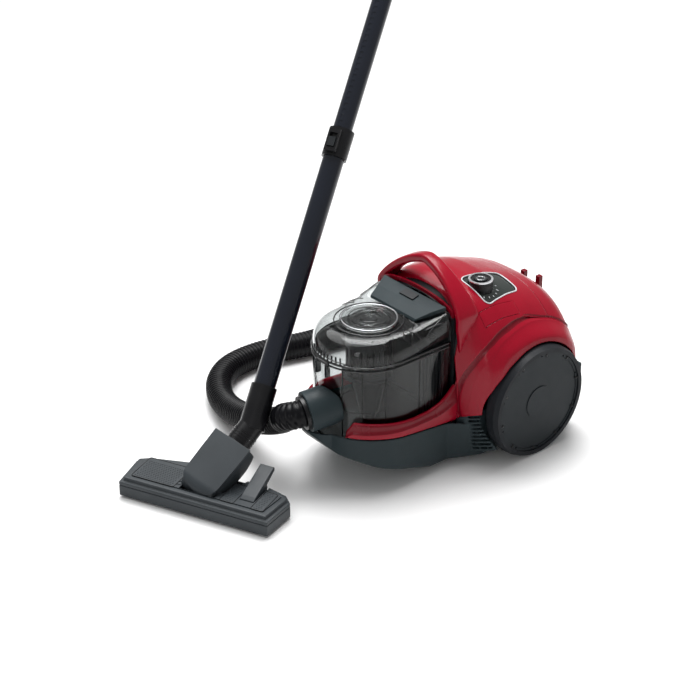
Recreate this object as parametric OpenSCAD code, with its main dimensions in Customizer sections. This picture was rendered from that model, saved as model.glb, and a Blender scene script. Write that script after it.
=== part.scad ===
// Canister vacuum cleaner with a clear dust bin, suction hose, telescopic tube and floor head.
// Millimetres. X across the canister, its left side at +X; the front faces -Y; Z up from the floor.

/* [Canister] */
// Half width over the two big wheels
wheel_face_x = 147.9; // [145:0.1:152]
// Outer radius of the big wheels
wheel_r = 87.4; // [84:0.1:88]
// Width of the tyre tread
tyre_w = 25; // [18:1:26]
// Half width of the body between the wheels
body_side_x = 117; // [114:0.5:118]
// Ground clearance under the base
clearance = 14; // [12:1:18]
// Height of the edge where the base meets the red body
base_top = 70; // [66:1:72]
// Thickness of the moulded shells
wall = 3; // [2:0.5:3.5]
/* [Dust bin] */
// Radius of the bin's round front
bin_r = 75.9; // [70:0.1:76]
// Centre of the round front, along Y
bin_y = -78.7; // [-82:0.1:-76]
// Height of the seam between bin and lid
lid_seam = 195; // [190:1:200]
// Height of the flat top of the lid
lid_top = 233; // [230:1:236]
// How far the bin lifts out
bin_lift = 180; // [150:5:220]
/* [Floor head and tube] */
// Length of the floor head
head_len = 239; // [220:1:260]
// Depth of the floor head
head_depth = 72; // [66:1:80]
// Outer radius of the lower tube
tube_r = 16; // [15:0.1:17]
// Length of the lower tube, with the part inside its socket
lower_len = 440; // [400:5:460]
// Length of the upper tube
upper_len = 430; // [400:5:450]
// Length of the upper tube that stands out of the lower tube
extension = 350; // [300:5:380]
/* [Hose] */
// Outer diameter of the corrugated hose
hose_d = 41; // [36:0.5:42]

/* [Hidden] */
$fn = 64;

// The origin lies under the middle of the canister, tube and floor head together
origin_shift = [75.2, 79.6, 0];
gap = 0.3;
fit = 0.05;

red = "#a80f1e";
dark_red = "#7d0b17";
slate = "#3c4144";
charcoal = "#26292c";
black = "#141517";
smoke = "#5b5f6180";
silver = "#b8bcc0";
copper = "#b06a3a";

// Wheels
axle_y = 130;
axle_r = 5;
axle_clear = 0.05;
tyre_in_x = wheel_face_x - tyre_w;
tyre_seat_r = wheel_r - 9;
arch_r = wheel_r + 3.6;

// Caster under the front
caster = [0, -66, 0];
caster_r = 13;
caster_w = 12;
caster_trail = 9;
caster_well_r = 28;

// Bay for the dust bin
bay_r = 90;
bow_in_r = 77.2;
bay_back_y = 20.5;
bin_back_y = 15;
bin_floor_z = 69.4;
bin_wall = 2.2;

// Inlet socket on the front of the base
rim = [-6, -184, 120];
socket_dir = unit([-0.3, -0.94, -0.15]);
socket_r = 30;
plug_r = 21.9;

// Floor head: its own axes turn with this angle about Z
head_turn = 24;
head_front = [-40.7, -362.2, 0];
pivot_v = 38;
pivot_z = 30;
drum_r = 20.5;
drum_w = 56;
neck_r = 18;
seam_point = [-61, -237, 95];
tube_dir = unit([-0.2816, 0.6012, 0.7489]);
pivot = head_point(0, pivot_v, pivot_z);
neck_dir = unit(seam_point - pivot);
collar_len = 35;
socket_len = 57;
tube_in_r = 14.7;
upper_r = 14.5;
upper_in_r = 13.2;
overlap = upper_len - extension;
collar_h = 44;
notch_pitch = 9;
notch_count = 36;

// Body shape along Y: half width and top height
body_width = [[20, 86], [26, 98], [36, 115], [48, 129], [62, 137], [90, 140], [170, 140],
    [195, 138], [205, 136], [215, 132], [223, 123], [229, 111], [232, 98]];
body_top = [[20, 250], [36, 257], [60, 262], [90, 262], [120, 257], [150, 247], [180, 236],
    [200, 228], [215, 218], [223, 209], [229, 197], [232, 186]];
hood_y = 200;
body_power = 2.6;
fender_power = 4;
fender_r = 118;
stations = [20, 26, 36, 48, 62, 90, 120, 150, 180, 195, 205, 215, 223, 229, 232];

// Route of the hose's centre line, from the cuff on the canister to the hand grip
hose_start = [-34, -201, 105];
hose_points = [hose_start, [-54, -188.4, 88], [-78, -187.3, 73.6], [-102, -188, 63], [-126, -187, 54],
    [-151, -183, 46], [-176, -178, 38], [-201, -172, 31], [-226, -164, 25], [-250, -155, 22],
    [-272, -143, 21], [-292, -128, 21], [-309, -108, 21], [-320, -86, 21], [-325, -60, 21],
    [-325, -33, 21], [-321, -7, 21], [-314, 18, 21], [-306, 44, 21], [-300, 72, 21],
    [-298, 105, 21], [-301, 140, 21], [-304, 180, 21], [-304, 222, 21], [-298, 264, 21],
    [-281, 306, 21], [-254, 343, 21], [-217, 373, 21], [-174, 391, 21], [-130, 394, 21],
    [-90, 378, 21], [-62, 348, 21], [-52, 312, 21], [-62, 279, 21], [-88, 260, 21], [-116, 255, 21]];
grip_start = hose_points[len(hose_points) - 1];

function unit(v) = v / norm(v);
function head_point(u, v, z) = head_front
    + [u * cos(head_turn) - v * sin(head_turn), u * sin(head_turn) + v * cos(head_turn), z];
function corner_dir(p, i) = i == 0 ? unit(p[1] - p[0])
    : i == len(p) - 1 ? unit(p[i] - p[i - 1]) : unit(unit(p[i] - p[i - 1]) + unit(p[i + 1] - p[i]));
function flipped(faces) = [for (f = faces) [for (k = [len(f) - 1 : -1 : 0]) f[k]]];
function side_of(d) = unit(cross(abs(d.z) < 0.9 ? [0, 0, 1] : [0, 1, 0], d));

module at_place() translate(origin_shift) children();
module both_sides() { children(); mirror([1, 0, 0]) children(); }
// Turns +Z onto a direction, at a point
module along(point, dir) translate(point) rotate([0, acos(dir.z), atan2(dir.y, dir.x)]) children();
module in_head() translate(head_front) rotate([0, 0, head_turn]) children();
module tube_frame(distance) along(seam_point + distance * tube_dir, tube_dir) children();
module ring(r_out, r_in, h) difference() {
    cylinder(r = r_out, h = h);
    translate([0, 0, -1]) cylinder(r = r_in, h = h + 2);
}
module wheel_frame() translate([0, axle_y, wheel_r]) rotate([0, 90, 0]) children();

// A round tube or rod swept along points
module swept(points, r, sides = 12, dirs = []) {
    n = len(points);
    rings = [for (i = [0 : n - 1])
        let (d = len(dirs) > 0 ? dirs[i] : corner_dir(points, i), a = side_of(d), b = cross(d, a))
        [for (k = [0 : sides - 1]) points[i] + r * (cos(k * 360 / sides) * a + sin(k * 360 / sides) * b)]];
    faces = concat([[for (k = [0 : sides - 1]) sides - 1 - k]],
        [for (i = [0 : n - 2], k = [0 : sides - 1])
            [i * sides + k, i * sides + (k + 1) % sides, (i + 1) * sides + (k + 1) % sides, (i + 1) * sides + k]],
        [[for (k = [0 : sides - 1]) (n - 1) * sides + k]]);
    polyhedron([for (r = rings, p = r) p], flipped(faces));
}

// ---- Canister body ----

// Crowned body cross-sections lofted along Y
module body_loft(inset = 0, floor_z = 70, power = body_power) {
    count = 24;
    sections = [for (y = stations)
        let (w = lookup(y, body_width) - inset, h = lookup(y, body_top) - inset - floor_z)
        [for (k = [0 : count]) let (t = 180 * k / count, c = cos(t), s = sin(t))
            [w * sign(c) * pow(abs(c), 2 / power), y, floor_z + h * pow(s, 2 / power)]]];
    n = count + 1;
    rows = len(sections);
    faces = concat([[for (k = [0 : n - 1]) k]],
        [for (i = [0 : rows - 2], k = [0 : n - 1])
            [i * n + k, (i + 1) * n + k, (i + 1) * n + (k + 1) % n, i * n + (k + 1) % n]],
        [[for (k = [n - 1 : -1 : 0]) (rows - 1) * n + k]]);
    polyhedron([for (s = sections, p = s) p], flipped(faces));
}

module box(lo, hi) translate(lo) cube(hi - lo);
// Flared corner of the base in front of each wheel, with the side vents
cheek_top = [[17, 72], [22.4, 75], [25.5, 79], [29, 82.4], [36, 86.3], [47, 89.3], [66, 90]];
module cheek_plan() polygon(concat([for (p = body_width) if (p.x <= 62) [p.y, p.x]], [[100, 62], [84, 30]]));
module cheek_block() intersection() {
    linear_extrude(120) cheek_plan();
    slab(150) polygon(concat([[66, 29], [36, 25], [17, 22]], cheek_top));
}
module cheek() difference() {
    cheek_block();
    difference() {
        translate([-wall, wall / 2, 0]) linear_extrude(120) cheek_plan();
        box([80, 17, 0], [150, 70, 30]);
        wheel_frame() cylinder(r = arch_r + wall, h = 200);
    }
    wheel_frame() translate([0, 0, 112]) cylinder(r = arch_r, h = 200);
    for (i = [0 : 8]) translate([102.3 + 0.8 * i, 28.6 + 0.5 * i, 77.6 - 6.2 * i])
        rotate([0, 0, 36]) rotate([0, 0.9 * i - 13, 0]) box([0, -8, 0], [30, 8, 2.8]);
}
module slab_range(x0, x1) rotate([90, 0, 90]) translate([0, 0, x0]) linear_extrude(x1 - x0) children();
// The red shells end above the cheeks
module above_cheeks() both_sides() slab_range(84, 150)
    polygon(concat([[17, 60]], [for (p = cheek_top) [p.x, p.y + gap]], [[66, 60]]));

module leg_pockets() both_sides() box([79.5, 15, 215.7], [91.5, 56.4, 300]);
module panel_outline(inset = 0) {
    polygon([[28 + inset, 72 + inset], [86 - inset, 76 + inset], [72 - inset, 150 - inset], [30 + inset, 147 - inset]]);
}
knob_at = [53, 92];

module body_shell() color(red) at_place() difference() {
    intersection() {
        body_loft();
        box([-body_side_x, 19, 60], [body_side_x, hood_y - gap, 300]);
    }
    intersection() {
        translate([0, 3.5, 0]) body_loft(3.5, 69);
        box([wall - body_side_x, bay_back_y + wall + gap, 60], [body_side_x - wall, hood_y + 5, 300]);
    }
    // Open front behind the bay wall, pockets for handle legs, panel and rewind button
    box([-79, 18, 60], [79, 30, 236]);
    leg_pockets();
    translate([0, 0, 215]) linear_extrude(60) panel_outline(-gap);
    box([88 - gap, 57 - gap, 190], [103 + gap, 124 + gap, 300]);
    both_sides() wheel_frame() cylinder(r = 8, h = 200);
    above_cheeks();
}

module fender() difference() {
    intersection() {
        union() {
            body_loft();
            intersection() {
                body_loft(0, 70, fender_power);
                wheel_frame() cylinder(r = fender_r, h = 200);
            }
        }
        box([body_side_x + gap, 19, 60], [160, hood_y - gap, 300]);
    }
    wheel_frame() cylinder(r = arch_r, h = 200);
    above_cheeks();
}
module fender_left() color(red) at_place() fender();
module fender_right() color(red) at_place() mirror([1, 0, 0]) fender();

module rear_hood() color(red) at_place() difference() {
    intersection() {
        body_loft();
        box([-145, hood_y + gap, 60], [145, 240, 300]);
    }
    intersection() {
        translate([0, -3.5, 0]) body_loft(3.5, 69);
        box([-113, 190, 60], [113, 232 - wall, 300]);
    }
    both_sides() box([bumper_in_x - gap, 200, 60], [150, 240, bumper_top + gap]);
    // Opening for the exhaust grille
    box([-55, 225, 90], [55, 240, 150]);
    both_sides() wheel_frame() translate([0, 0, body_side_x]) cylinder(r = arch_r, h = 60);
}

module exhaust_grille() color(charcoal) at_place() difference() {
    box([gap - 55, 228, 90 + gap], [55 - gap, 231.6, 150 - gap]);
    for (i = [0 : 6]) box([-46, 220, 96 + i * 7.4], [46, 240, 99.6 + i * 7.4]);
}
module exhaust_filter() color(black) at_place() box([-52, 210, 92], [52, 227, 148]);

// Plan outline of the base; the round front holds the bin, the rear runs between the wheels
module base_plan(inset = 0) {
    translate([0, bin_y]) circle(r = bay_r - inset);
    translate([inset - bay_r, bin_y]) square([2 * (bay_r - inset), 110]);
    translate([-4, -150]) circle(r = 34 - inset);
    polygon([[inset - bay_r, 0], [inset - 112, 46], [inset - 112, 232 - inset], [112 - inset, 232 - inset],
        [112 - inset, 46], [bay_r - inset, 0]]);
}
top_edge = [[-190, 92], [-120, 88], [-53, 80.5], [-15, 76.4], [17, 72], [24, base_top], [240, base_top]];
module base_profile(inset = 0, top_cut = 0) {
    polygon(concat([[240, clearance + inset], [-32, clearance + inset], [-120, 42 + inset], [-160, 60 + inset],
        [-183, 86 + inset], [-190, 92 + inset]], [for (p = top_edge) [p.x, p.y + top_cut]]));
}
// Turns a YZ profile into a slab along X
module slab(half) rotate([90, 0, 90]) translate([0, 0, -half]) linear_extrude(2 * half) children();
module base_solid(inset = 0, top_cut = 0) intersection() {
    linear_extrude(120) base_plan(inset);
    slab(130) base_profile(inset, top_cut);
}

bumper_in_x = 96;
bumper_top = 106;
module socket_cut(extra = 0) along(rim - 60 * socket_dir, socket_dir) cylinder(r = socket_r + extra, h = 61);

module base_shell() color(slate) at_place() difference() {
    union() {
        difference() {
            base_solid();
            base_solid(wall, 20);
        }
        // Caster well and its boss
        translate(caster) cylinder(r = caster_well_r + wall, h = 44);
        translate(caster) cylinder(r = 9, h = 60);
        both_sides() box([98, 108, clearance + 1], [106, 152, 108]);
        both_sides() cheek();
        // Bumpers behind the wheels
        both_sides() box([bumper_in_x, 221, base_top - 4], [126, 237, bumper_top]);
    }
    translate(caster - [0, 0, 1]) cylinder(r = caster_well_r, h = 41);
    translate(caster) translate([0, 0, 30]) cylinder(r = 4 + axle_clear, h = 27);
    translate([0, 0, -60]) box([-60, -110, 0], [60, -20, 60 + clearance]);
    both_sides() wheel_frame() cylinder(r = axle_r + fit, h = 200);
    socket_cut(gap);
}

module front_bow() color(dark_red) at_place() difference() {
    intersection() {
        linear_extrude(160) difference() {
            union() {
                translate([0, bin_y]) circle(r = bay_r);
                translate([-bay_r, bin_y]) square([2 * bay_r, 19 - bin_y]);
            }
            translate([0, bin_y]) circle(r = bow_in_r);
            translate([-bow_in_r, bin_y]) square([2 * bow_in_r, 120]);
        }
        slab(130) polygon([[-190, 92], [-120, 88], [-53, 80.5], [-15, 76.4], [17, 72], [24, 72], [24, 136], [16, 129],
            [7, 123], [-6, 112.5], [-28, 105.5], [-60, 104], [-120, 112], [-190, 117]]);
    }
    box([-46, -190, 60], [46, -110, 160]);
}

module bin_tray() color(charcoal) at_place() difference() {
    linear_extrude(69) difference() {
        union() {
            translate([0, bin_y]) circle(r = bay_r - wall - gap);
            translate([wall + gap - bay_r, bin_y]) square([2 * (bay_r - wall - gap), 18 - bin_y]);
        }
        translate([0, -60]) circle(r = 15);
    }
    box([-120, -200, -1], [120, 40, 66]);
    box([-120, -200, 0], [120, -159, 80]);
    socket_cut(gap);
}

module arch_outline(a, b, z0) {
    polygon(concat([for (t = [0 : 7.5 : 180]) [a * cos(t), z0 + b * pow(sin(t), 1.1)]]));
}
module carry_handle() color(red) at_place() intersection() {
    translate([0, 60, 0]) rotate([90, 0, 0]) linear_extrude(50) difference() {
        union() {
            arch_outline(91, 68, 234);
            translate([-91, 216]) square([182, 18.1]);
        }
        union() {
            arch_outline(80, 55, 234);
            translate([-80, 200]) square([160, 34.1]);
        }
    }
    slab(120) polygon([[17, 216], [17, 240], [29, 306], [47, 306], [56, 240], [56, 216]]);
}
module bay_rim() color(dark_red) at_place() translate([0, 19.8, 0]) rotate([90, 0, 0]) linear_extrude(3.6)
    difference() {
        polygon(concat([[-78.4, 236]], [for (t = [180 : -15 : 0]) [78.4 * cos(t), 240 + 18.4 * sin(t)]], [[78.4, 236]]));
        polygon(concat([[-74.4, 230]], [for (t = [180 : -15 : 0]) [74.4 * cos(t), 236 + 17.4 * sin(t)]], [[74.4, 230]]));
    }
module bay_wall() color(charcoal) at_place() difference() {
    box([-76, bay_back_y, base_top + 1], [76, bay_back_y + wall, 236]);
    // Air outlet to the motor and its grid
    for (x = [-24, 0, 24]) translate([x, 10, 150]) rotate([-90, 0, 0]) cylinder(r = 9, h = 30);
}

// ---- Controls ----

module control_panel() color(charcoal) at_place() difference() {
    intersection() {
        body_loft(0.8);
        translate([0, 0, 200]) linear_extrude(80) panel_outline();
    }
    translate([0, 0, -4]) body_loft(0.8);
    translate([knob_at.x, knob_at.y, 200]) cylinder(r = 18.6, h = 90);
}
module power_knob() color(black) at_place() translate([knob_at.x, knob_at.y, 0]) difference() {
    union() {
        translate([0, 0, 240]) cylinder(r = 18, h = 24);
        translate([0, 0, 214]) cylinder(r = 3, h = 27);
    }
    translate([0, 0, 258]) cylinder(r = 9 + gap, h = 10);
}
module knob_ring() color(silver) at_place() translate([knob_at.x, knob_at.y, 264]) ring(18, 15, 1.6);
module power_button() color(charcoal) at_place() translate([knob_at.x, knob_at.y, 261.2]) cylinder(r = 9, h = 4.2);
module rewind_button() color(red) at_place() difference() {
    intersection() {
        body_loft();
        box([88, 57, 190], [103, 124, 300]);
    }
    translate([0, 0, -6]) intersection() {
        body_loft();
        box([80, 50, 180], [110, 130, 300]);
    }
}
module control_board() color("#2c5a3a") at_place() box([20, 62, 210], [86, 130, 212]);

// ---- Inside the body ----

motor = [30, 78, 132];
module motor_frame() translate(motor) rotate([-90, 0, 0]) children();
module motor_housing() color(silver) at_place() motor_frame() difference() {
    union() {
        translate([0, 0, 30]) cylinder(r = 42, h = 70);
        translate([0, 0, 100]) cylinder(r = 14, h = 10);
    }
    for (a = [0 : 60 : 300]) rotate([0, 0, a]) translate([30, 0, 90]) cylinder(r = 5, h = 20);
    translate([0, 0, 29]) cylinder(r = 4 + axle_clear, h = 20);
}
module fan_cover() color(silver) at_place() motor_frame() difference() {
    cylinder(r = 50, h = 28);
    translate([0, 0, 3]) cylinder(r = 47, h = 30);
    translate([0, 0, -1]) cylinder(r = 16, h = 20);
}
module motor_fan() color(charcoal) at_place() motor_frame() {
    translate([0, 0, 6]) cylinder(r = 44, h = 2);
    translate([0, 0, 7.9]) for (a = [0 : 40 : 320]) rotate([0, 0, a]) translate([14, -1, 0]) cube([28, 2, 12]);
    translate([0, 0, 4]) cylinder(r = 4, h = 44);
}
module motor_mounts() color(black) at_place() motor_frame() {
    translate([0, 0, 6]) ring(56, 50.2, 12);
    translate([0, 0, 102]) ring(24, 14.2, 8);
}
reel = [-68, 120, 142];
module reel_frame() translate(reel) rotate([0, 90, 0]) children();
module cable_reel() color(charcoal) at_place() reel_frame() difference() {
    union() {
        translate([0, 0, -24]) cylinder(r = 60, h = 2.5);
        translate([0, 0, -22]) cylinder(r = 30, h = 44);
        translate([0, 0, 21.5]) cylinder(r = 60, h = 2.5);
    }
    translate([0, 0, -30]) cylinder(r = 6 + fit, h = 60);
}
module reel_axle() color(silver) at_place() reel_frame()
    translate([0, 0, -30]) cylinder(r = 6, h = 62);

// ---- Wheels ----

module wheel_axles() color(silver) at_place() both_sides() wheel_frame() {
    translate([0, 0, 94]) cylinder(r = axle_r, h = wheel_face_x - 94 - 4);
    translate([0, 0, 106.2]) ring(9, axle_r, 3);
}
module tyre() wheel_frame() rotate_extrude($fn = 128) polygon([[tyre_seat_r, tyre_in_x], [wheel_r - 1.5, tyre_in_x],
    [wheel_r, tyre_in_x + 4], [wheel_r, wheel_face_x - 8], [wheel_r - 2.6, wheel_face_x], [tyre_seat_r, wheel_face_x]]);
module wheel_disc() wheel_frame() difference() {
    union() {
        translate([0, 0, wheel_face_x - 7]) cylinder(r = tyre_seat_r - 0.2, h = 4);
        translate([0, 0, tyre_in_x + 1]) ring(tyre_seat_r - 0.2, tyre_seat_r - 4, tyre_w - 3);
        translate([0, 0, tyre_in_x + 1]) cylinder(r = 15, h = tyre_w - 5);
        translate([0, 0, wheel_face_x - 3]) cylinder(r = 25, h = 1.2);
    }
    translate([0, 0, tyre_in_x - 5]) cylinder(r = axle_r + axle_clear, h = wheel_face_x - 3.9 - tyre_in_x + 5);
    for (a = [0 : 36 : 324]) rotate([0, 0, a]) translate([tyre_seat_r - 3, 0, wheel_face_x - 4]) cylinder(r = 1.6, h = 9);
}
module tyre_left() color(slate) at_place() tyre();
module tyre_right() color(slate) at_place() mirror([1, 0, 0]) tyre();
module wheel_disc_left() color(charcoal) at_place() wheel_disc();
module wheel_disc_right() color(charcoal) at_place() mirror([1, 0, 0]) wheel_disc();

module caster_fork() color(charcoal) at_place() translate(caster) {
    translate([0, 0, 29.5]) cylinder(r = 14, h = 4);
    translate([0, 0, 33.4]) cylinder(r = 4, h = 21);
    both_sides() box([caster_w / 2 + 0.6, caster_trail - 6, 8], [caster_w / 2 + 3, caster_trail + 6, 29.6]);
    translate([-8, caster_trail, caster_r]) rotate([0, 90, 0]) cylinder(r = 2, h = 16);
}
module caster_wheel() color(black) at_place() translate(caster) translate([-caster_w / 2, caster_trail, caster_r])
    rotate([0, 90, 0]) ring(caster_r, 2 + axle_clear, caster_w);

// ---- Dust bin ----

module bin_plan(inset = 0) {
    translate([0, bin_y]) circle(r = bin_r - inset, $fn = 96);
    translate([inset - bin_r, bin_y]) square([2 * (bin_r - inset), bin_back_y - bin_y - inset]);
}
module dust_bin() color(smoke) at_place() difference() {
    translate([0, 0, bin_floor_z]) linear_extrude(lid_seam - bin_floor_z - gap) bin_plan();
    translate([0, 0, bin_floor_z + wall]) linear_extrude(200) bin_plan(bin_wall);
    along(rim - 60 * socket_dir, socket_dir) cylinder(r = 20, h = 61);
    // Rear window towards the motor filter
    box([-40, 5, 110], [40, 20, 186]);
}
// Lid: rings of the bin's plan, each at its own height, closed across the middle
lid_rings = [1, 0.995, 0.975, 0.94, 0.88, 0.8, 0.7, 0.55];
lid_height = [[-160, 41], [-45, 41], [-32, 42], [-11, 47], [15, 53]];
lid_cap = [[-160, 38], [-45, 38], [-32, 38.4], [-11, 42.8], [15, 48.4]];
lid_power = [[-160, 3.6], [-79, 3.6], [-45, 4.5], [15, 8]];
lid_side_y = [bin_back_y, -11, -32, -45, -62];
module lid_loft(inset = 0, base = 0) {
    r = bin_r - inset;
    arc = [for (t = [0 : 7.5 : 180]) [r * cos(t), -r * sin(t)]];
    count = len(lid_side_y);
    n = 2 * count + len(arc);
    function level(q, y) = let (e = lookup(y, lid_power), h = lookup(y, lid_height))
        lid_seam + min(h * pow(max(0, 1 - pow(q, e)), 1 / e), lookup(y, lid_cap)) - (q < 1 ? inset : base);
    function side_y(j) = j == 0 ? bin_back_y - inset : lid_side_y[j];
    rings = [for (q = lid_rings) concat(
        [for (j = [0 : count - 1]) [q * r, side_y(j), level(q, side_y(j))]],
        [for (v = arc) let (y = bin_y + q * v.y) [q * v.x, y, level(q, y)]],
        [for (j = [count - 1 : -1 : 0]) [-q * r, side_y(j), level(q, side_y(j))]])];
    m = len(rings);
    o = (m - 1) * n;
    half = (n - 1) / 2;
    faces = concat([[for (k = [0 : n - 1]) k]],
        [for (i = [0 : m - 2], k = [0 : n - 2]) each [
            [i * n + k, (i + 1) * n + k, i * n + k + 1], [i * n + k + 1, (i + 1) * n + k, (i + 1) * n + k + 1]]],
        [for (k = [0 : half - 2]) each [
            [o + k, o + n - 1 - k, o + k + 1], [o + k + 1, o + n - 1 - k, o + n - 2 - k]]],
        [[o + half - 1, o + half + 1, o + half]],
        [concat([for (i = [m - 1 : -1 : 0]) i * n], [for (i = [0 : m - 1]) i * n + n - 1])]);
    polyhedron([for (r = rings, p = r) p], flipped(faces));
}
module plate_area(extra = 0) linear_extrude(300)
    polygon([[-66 - extra, 13 + extra], [66 + extra, 13 + extra], [48 + extra, -30 - extra], [-48 - extra, -30 - extra]]);
module bin_lid() color(smoke) at_place() difference() {
    union() {
        difference() {
            lid_loft();
            translate([0, 0, -0.01]) lid_loft(bin_wall, 0.5);
        }
        // Hinge knuckle
        translate([-7.6, hinge_y, lid_seam + 1]) rotate([0, 90, 0]) cylinder(r = 3.1, h = 15.2);
        box([-7.6, hinge_y, lid_seam + 0.2], [7.6, bin_y - bin_r + 1.6, lid_seam + 4]);
    }
    translate([-9, hinge_y, lid_seam + 1]) rotate([0, 90, 0]) cylinder(r = 2 + axle_clear, h = 18);
}
module lid_disc() color(smoke) at_place() translate([0, -73, lid_top + 0.5]) difference() {
    cylinder(r = 42.6, h = 2.6);
    for (r = [12, 26]) translate([0, 0, 1.2]) ring(r + 8, r, 4);
}
hinge_y = bin_y - bin_r - 3.5;
module lid_hinge() color(charcoal) at_place() {
    translate([-12, hinge_y, lid_seam + 1]) rotate([0, 90, 0]) cylinder(r = 2, h = 24);
    both_sides() box([8, hinge_y - 3, lid_seam - 20], [12, hinge_y + 2.6, lid_seam + 1.5]);
    both_sides() box([8, hinge_y - 3, lid_seam - 20], [12, bin_y - bin_r + 0.5, lid_seam - 6]);
}
module bin_handle() color(slate) at_place() difference() {
    intersection() {
        slab(80) polygon([[-30, lid_top + 1.6], [-28, lid_top + 5], [-8, lid_top + 12], [13, lid_top + 17],
            [13, lid_top + 11.2], [-11, lid_top + 5.4]]);
        plate_area();
    }
    box([-14 - gap, -4 - gap, lid_top + 8.4], [14 + gap, 8 + gap, 300]);
}
module bin_latch() color(charcoal) at_place() intersection() {
    box([-14, -4, lid_top + 11], [14, 8, lid_top + 30]);
    slab(80) polygon([[-30, 200], [-30, lid_top + 8.3], [-8, lid_top + 14], [13, lid_top + 19], [13, 200]]);
}
module cyclone_shroud() color(black) at_place() translate([0, -72, 0]) difference() {
    translate([0, 0, 150]) cylinder(r = 34, h = 60);
    translate([0, 0, 149]) cylinder(r = 30, h = 58);
    for (a = [0 : 15 : 345]) rotate([0, 0, a]) translate([32, 0, 162]) box([-4, -1.4, 0], [4, 1.4, 34]);
}
module cyclone_cone() color(charcoal) at_place() translate([0, -72, 0]) difference() {
    union() {
        translate([0, 0, 84]) cylinder(r1 = 14, r2 = 27, h = 64);
        translate([0, 0, 148]) cylinder(r = 40, h = 1.8);
        translate([0, 0, bin_floor_z + wall]) cylinder(r = 9, h = 14);
    }
    translate([0, 0, 88]) cylinder(r1 = 11, r2 = 24, h = 62);
}
module pleated_filter() color(charcoal) at_place() difference() {
    box([-68, -24, 104], [68, 4.6, 190]);
    both_sides() for (i = [0 : 4]) box([65, -22 + i * 5.2, 100], [70, -19.4 + i * 5.2, 200]);
    box([-60, -40, 108], [60, -20, 186]);
}

// ---- Hose ----

module inlet_socket() color(slate) at_place() difference() {
    along(rim - 46 * socket_dir, socket_dir) cylinder(r = socket_r, h = 46);
    along(rim - 60 * socket_dir, socket_dir) cylinder(r = plug_r + 0.1, h = 80);
    translate([0, bin_y, 40]) cylinder(r = bin_r + 0.8, h = 200, $fn = 96);
}
module hose_connector() color(black) at_place() difference() {
    union() {
        along(rim - 20 * socket_dir, socket_dir) cylinder(r = plug_r, h = 24);
        along(rim + 0.3 * socket_dir, socket_dir) cylinder(r = 25, h = 5.7);
    }
    along(rim - 40 * socket_dir, socket_dir) cylinder(r = 17.5, h = 60);
}
// Quarter bend from the connector to the hose, as a Bezier curve
cuff_a = rim + 6 * socket_dir;
cuff_dir = unit(hose_points[1] - hose_points[0]);
cuff_b = cuff_a + 12 * socket_dir;
cuff_c = hose_start - 12 * cuff_dir;
function bezier(t) = pow(1 - t, 3) * cuff_a + 3 * t * pow(1 - t, 2) * cuff_b
    + 3 * t * t * (1 - t) * cuff_c + pow(t, 3) * hose_start;
cuff_path = [for (t = [0 : 0.125 : 1]) bezier(t)];
cuff_dirs = [for (i = [0 : 8]) i == 0 ? socket_dir : i == 8 ? cuff_dir : corner_dir(cuff_path, i)];
module hose_cuff() color(black) at_place() swept(cuff_path, hose_d / 2, 16, cuff_dirs);
grip_dir = unit([-1, 0.04, 0]);
hose_last = len(hose_points) - 1;
hose_dirs = [for (i = [0 : hose_last]) i == hose_last ? grip_dir : corner_dir(hose_points, i)];
module hose() color(black) at_place() swept(hose_points, hose_d / 2, 12, hose_dirs);
grip_bend = concat([grip_start + 24 * grip_dir],
    [for (i = [1 : 6]) [-140 - 20 * i, 256 + 0.34 * i * i, 21 + 0.25 * i * i]]);
grip_dirs = [for (i = [0 : 6]) i == 0 ? grip_dir : corner_dir(grip_bend, i)];
module grip_collar() color(charcoal) at_place()
    along(grip_start, grip_dir) cylinder(r = hose_d / 2, h = 24);
module hand_grip() color(charcoal) at_place() swept(grip_bend, 16.5, 16, grip_dirs);
module air_slider() color(slate) at_place() box([-196, 250, 41.5], [-178, 262, 45.5]);

// ---- Floor head ----

module head_plan(inset = 0) {
    h = head_len / 2 - inset;
    polygon([[-h, inset], [h, inset], [h + 6, head_depth - 14], [h - 8, head_depth - inset], [48, head_depth + 15 - inset],
        [-48, head_depth + 15 - inset], [8 - h, head_depth - inset], [-h - 6, head_depth - 14]]);
}
// Room for the neck to turn down into the head
module drum_well() {
    translate([0, pivot_v, pivot_z]) rotate([0, 90, 0]) translate([0, 0, -drum_w / 2 - 0.7])
        cylinder(r = 24, h = drum_w + 1.4);
    intersection() {
        slab(80) polygon([[30, 8], [52, 8], [62, 10.5], [81, 17.5], [110, 23], [110, 60], [30, 60]]);
        linear_extrude(60) polygon([[-34, 30], [34, 30], [66, 110], [-14, 110]]);
    }
}
module head_sole() color(charcoal) at_place() in_head() difference() {
    translate([0, 0, 3]) linear_extrude(17) head_plan();
    translate([0, 0, 6]) linear_extrude(20) head_plan(3);
    drum_well();
    // Suction channel and slots for bristles and rollers
    box([-88, 28, 0], [88, 42, 7]);
    box([-104, 12, 0], [104, 18, 7]);
    box([-104, 54, 0], [104, 60, 7]);
    for (x = [-112, 92]) box([x, 30, 0], [x + 20, 46, 12]);
}
module pedal_pocket() box([61.7, 26, 22], [84.3, 100, 70]);
module head_cover() color(slate) at_place() in_head() difference() {
    union() {
        translate([0, 0, 20 + 0.1]) linear_extrude(6) head_plan();
        translate([0, 0, 26]) linear_extrude(6) head_plan(5);
    }
    translate([0, 0, 17]) linear_extrude(12) head_plan(8);
    drum_well();
    pedal_pocket();
    translate([0, 0, 30.6]) linear_extrude(5) head_plan(13.7);
}
module head_inlay() color(charcoal) at_place() in_head() difference() {
    translate([0, 0, 30.7]) linear_extrude(2.2) head_plan(14);
    drum_well();
    pedal_pocket();
    for (i = [0 : 4]) box([-100, 20 + i * 8, 32], [-30, 23 + i * 8, 40]);
}
pedal_axis = [64, 35];
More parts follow.
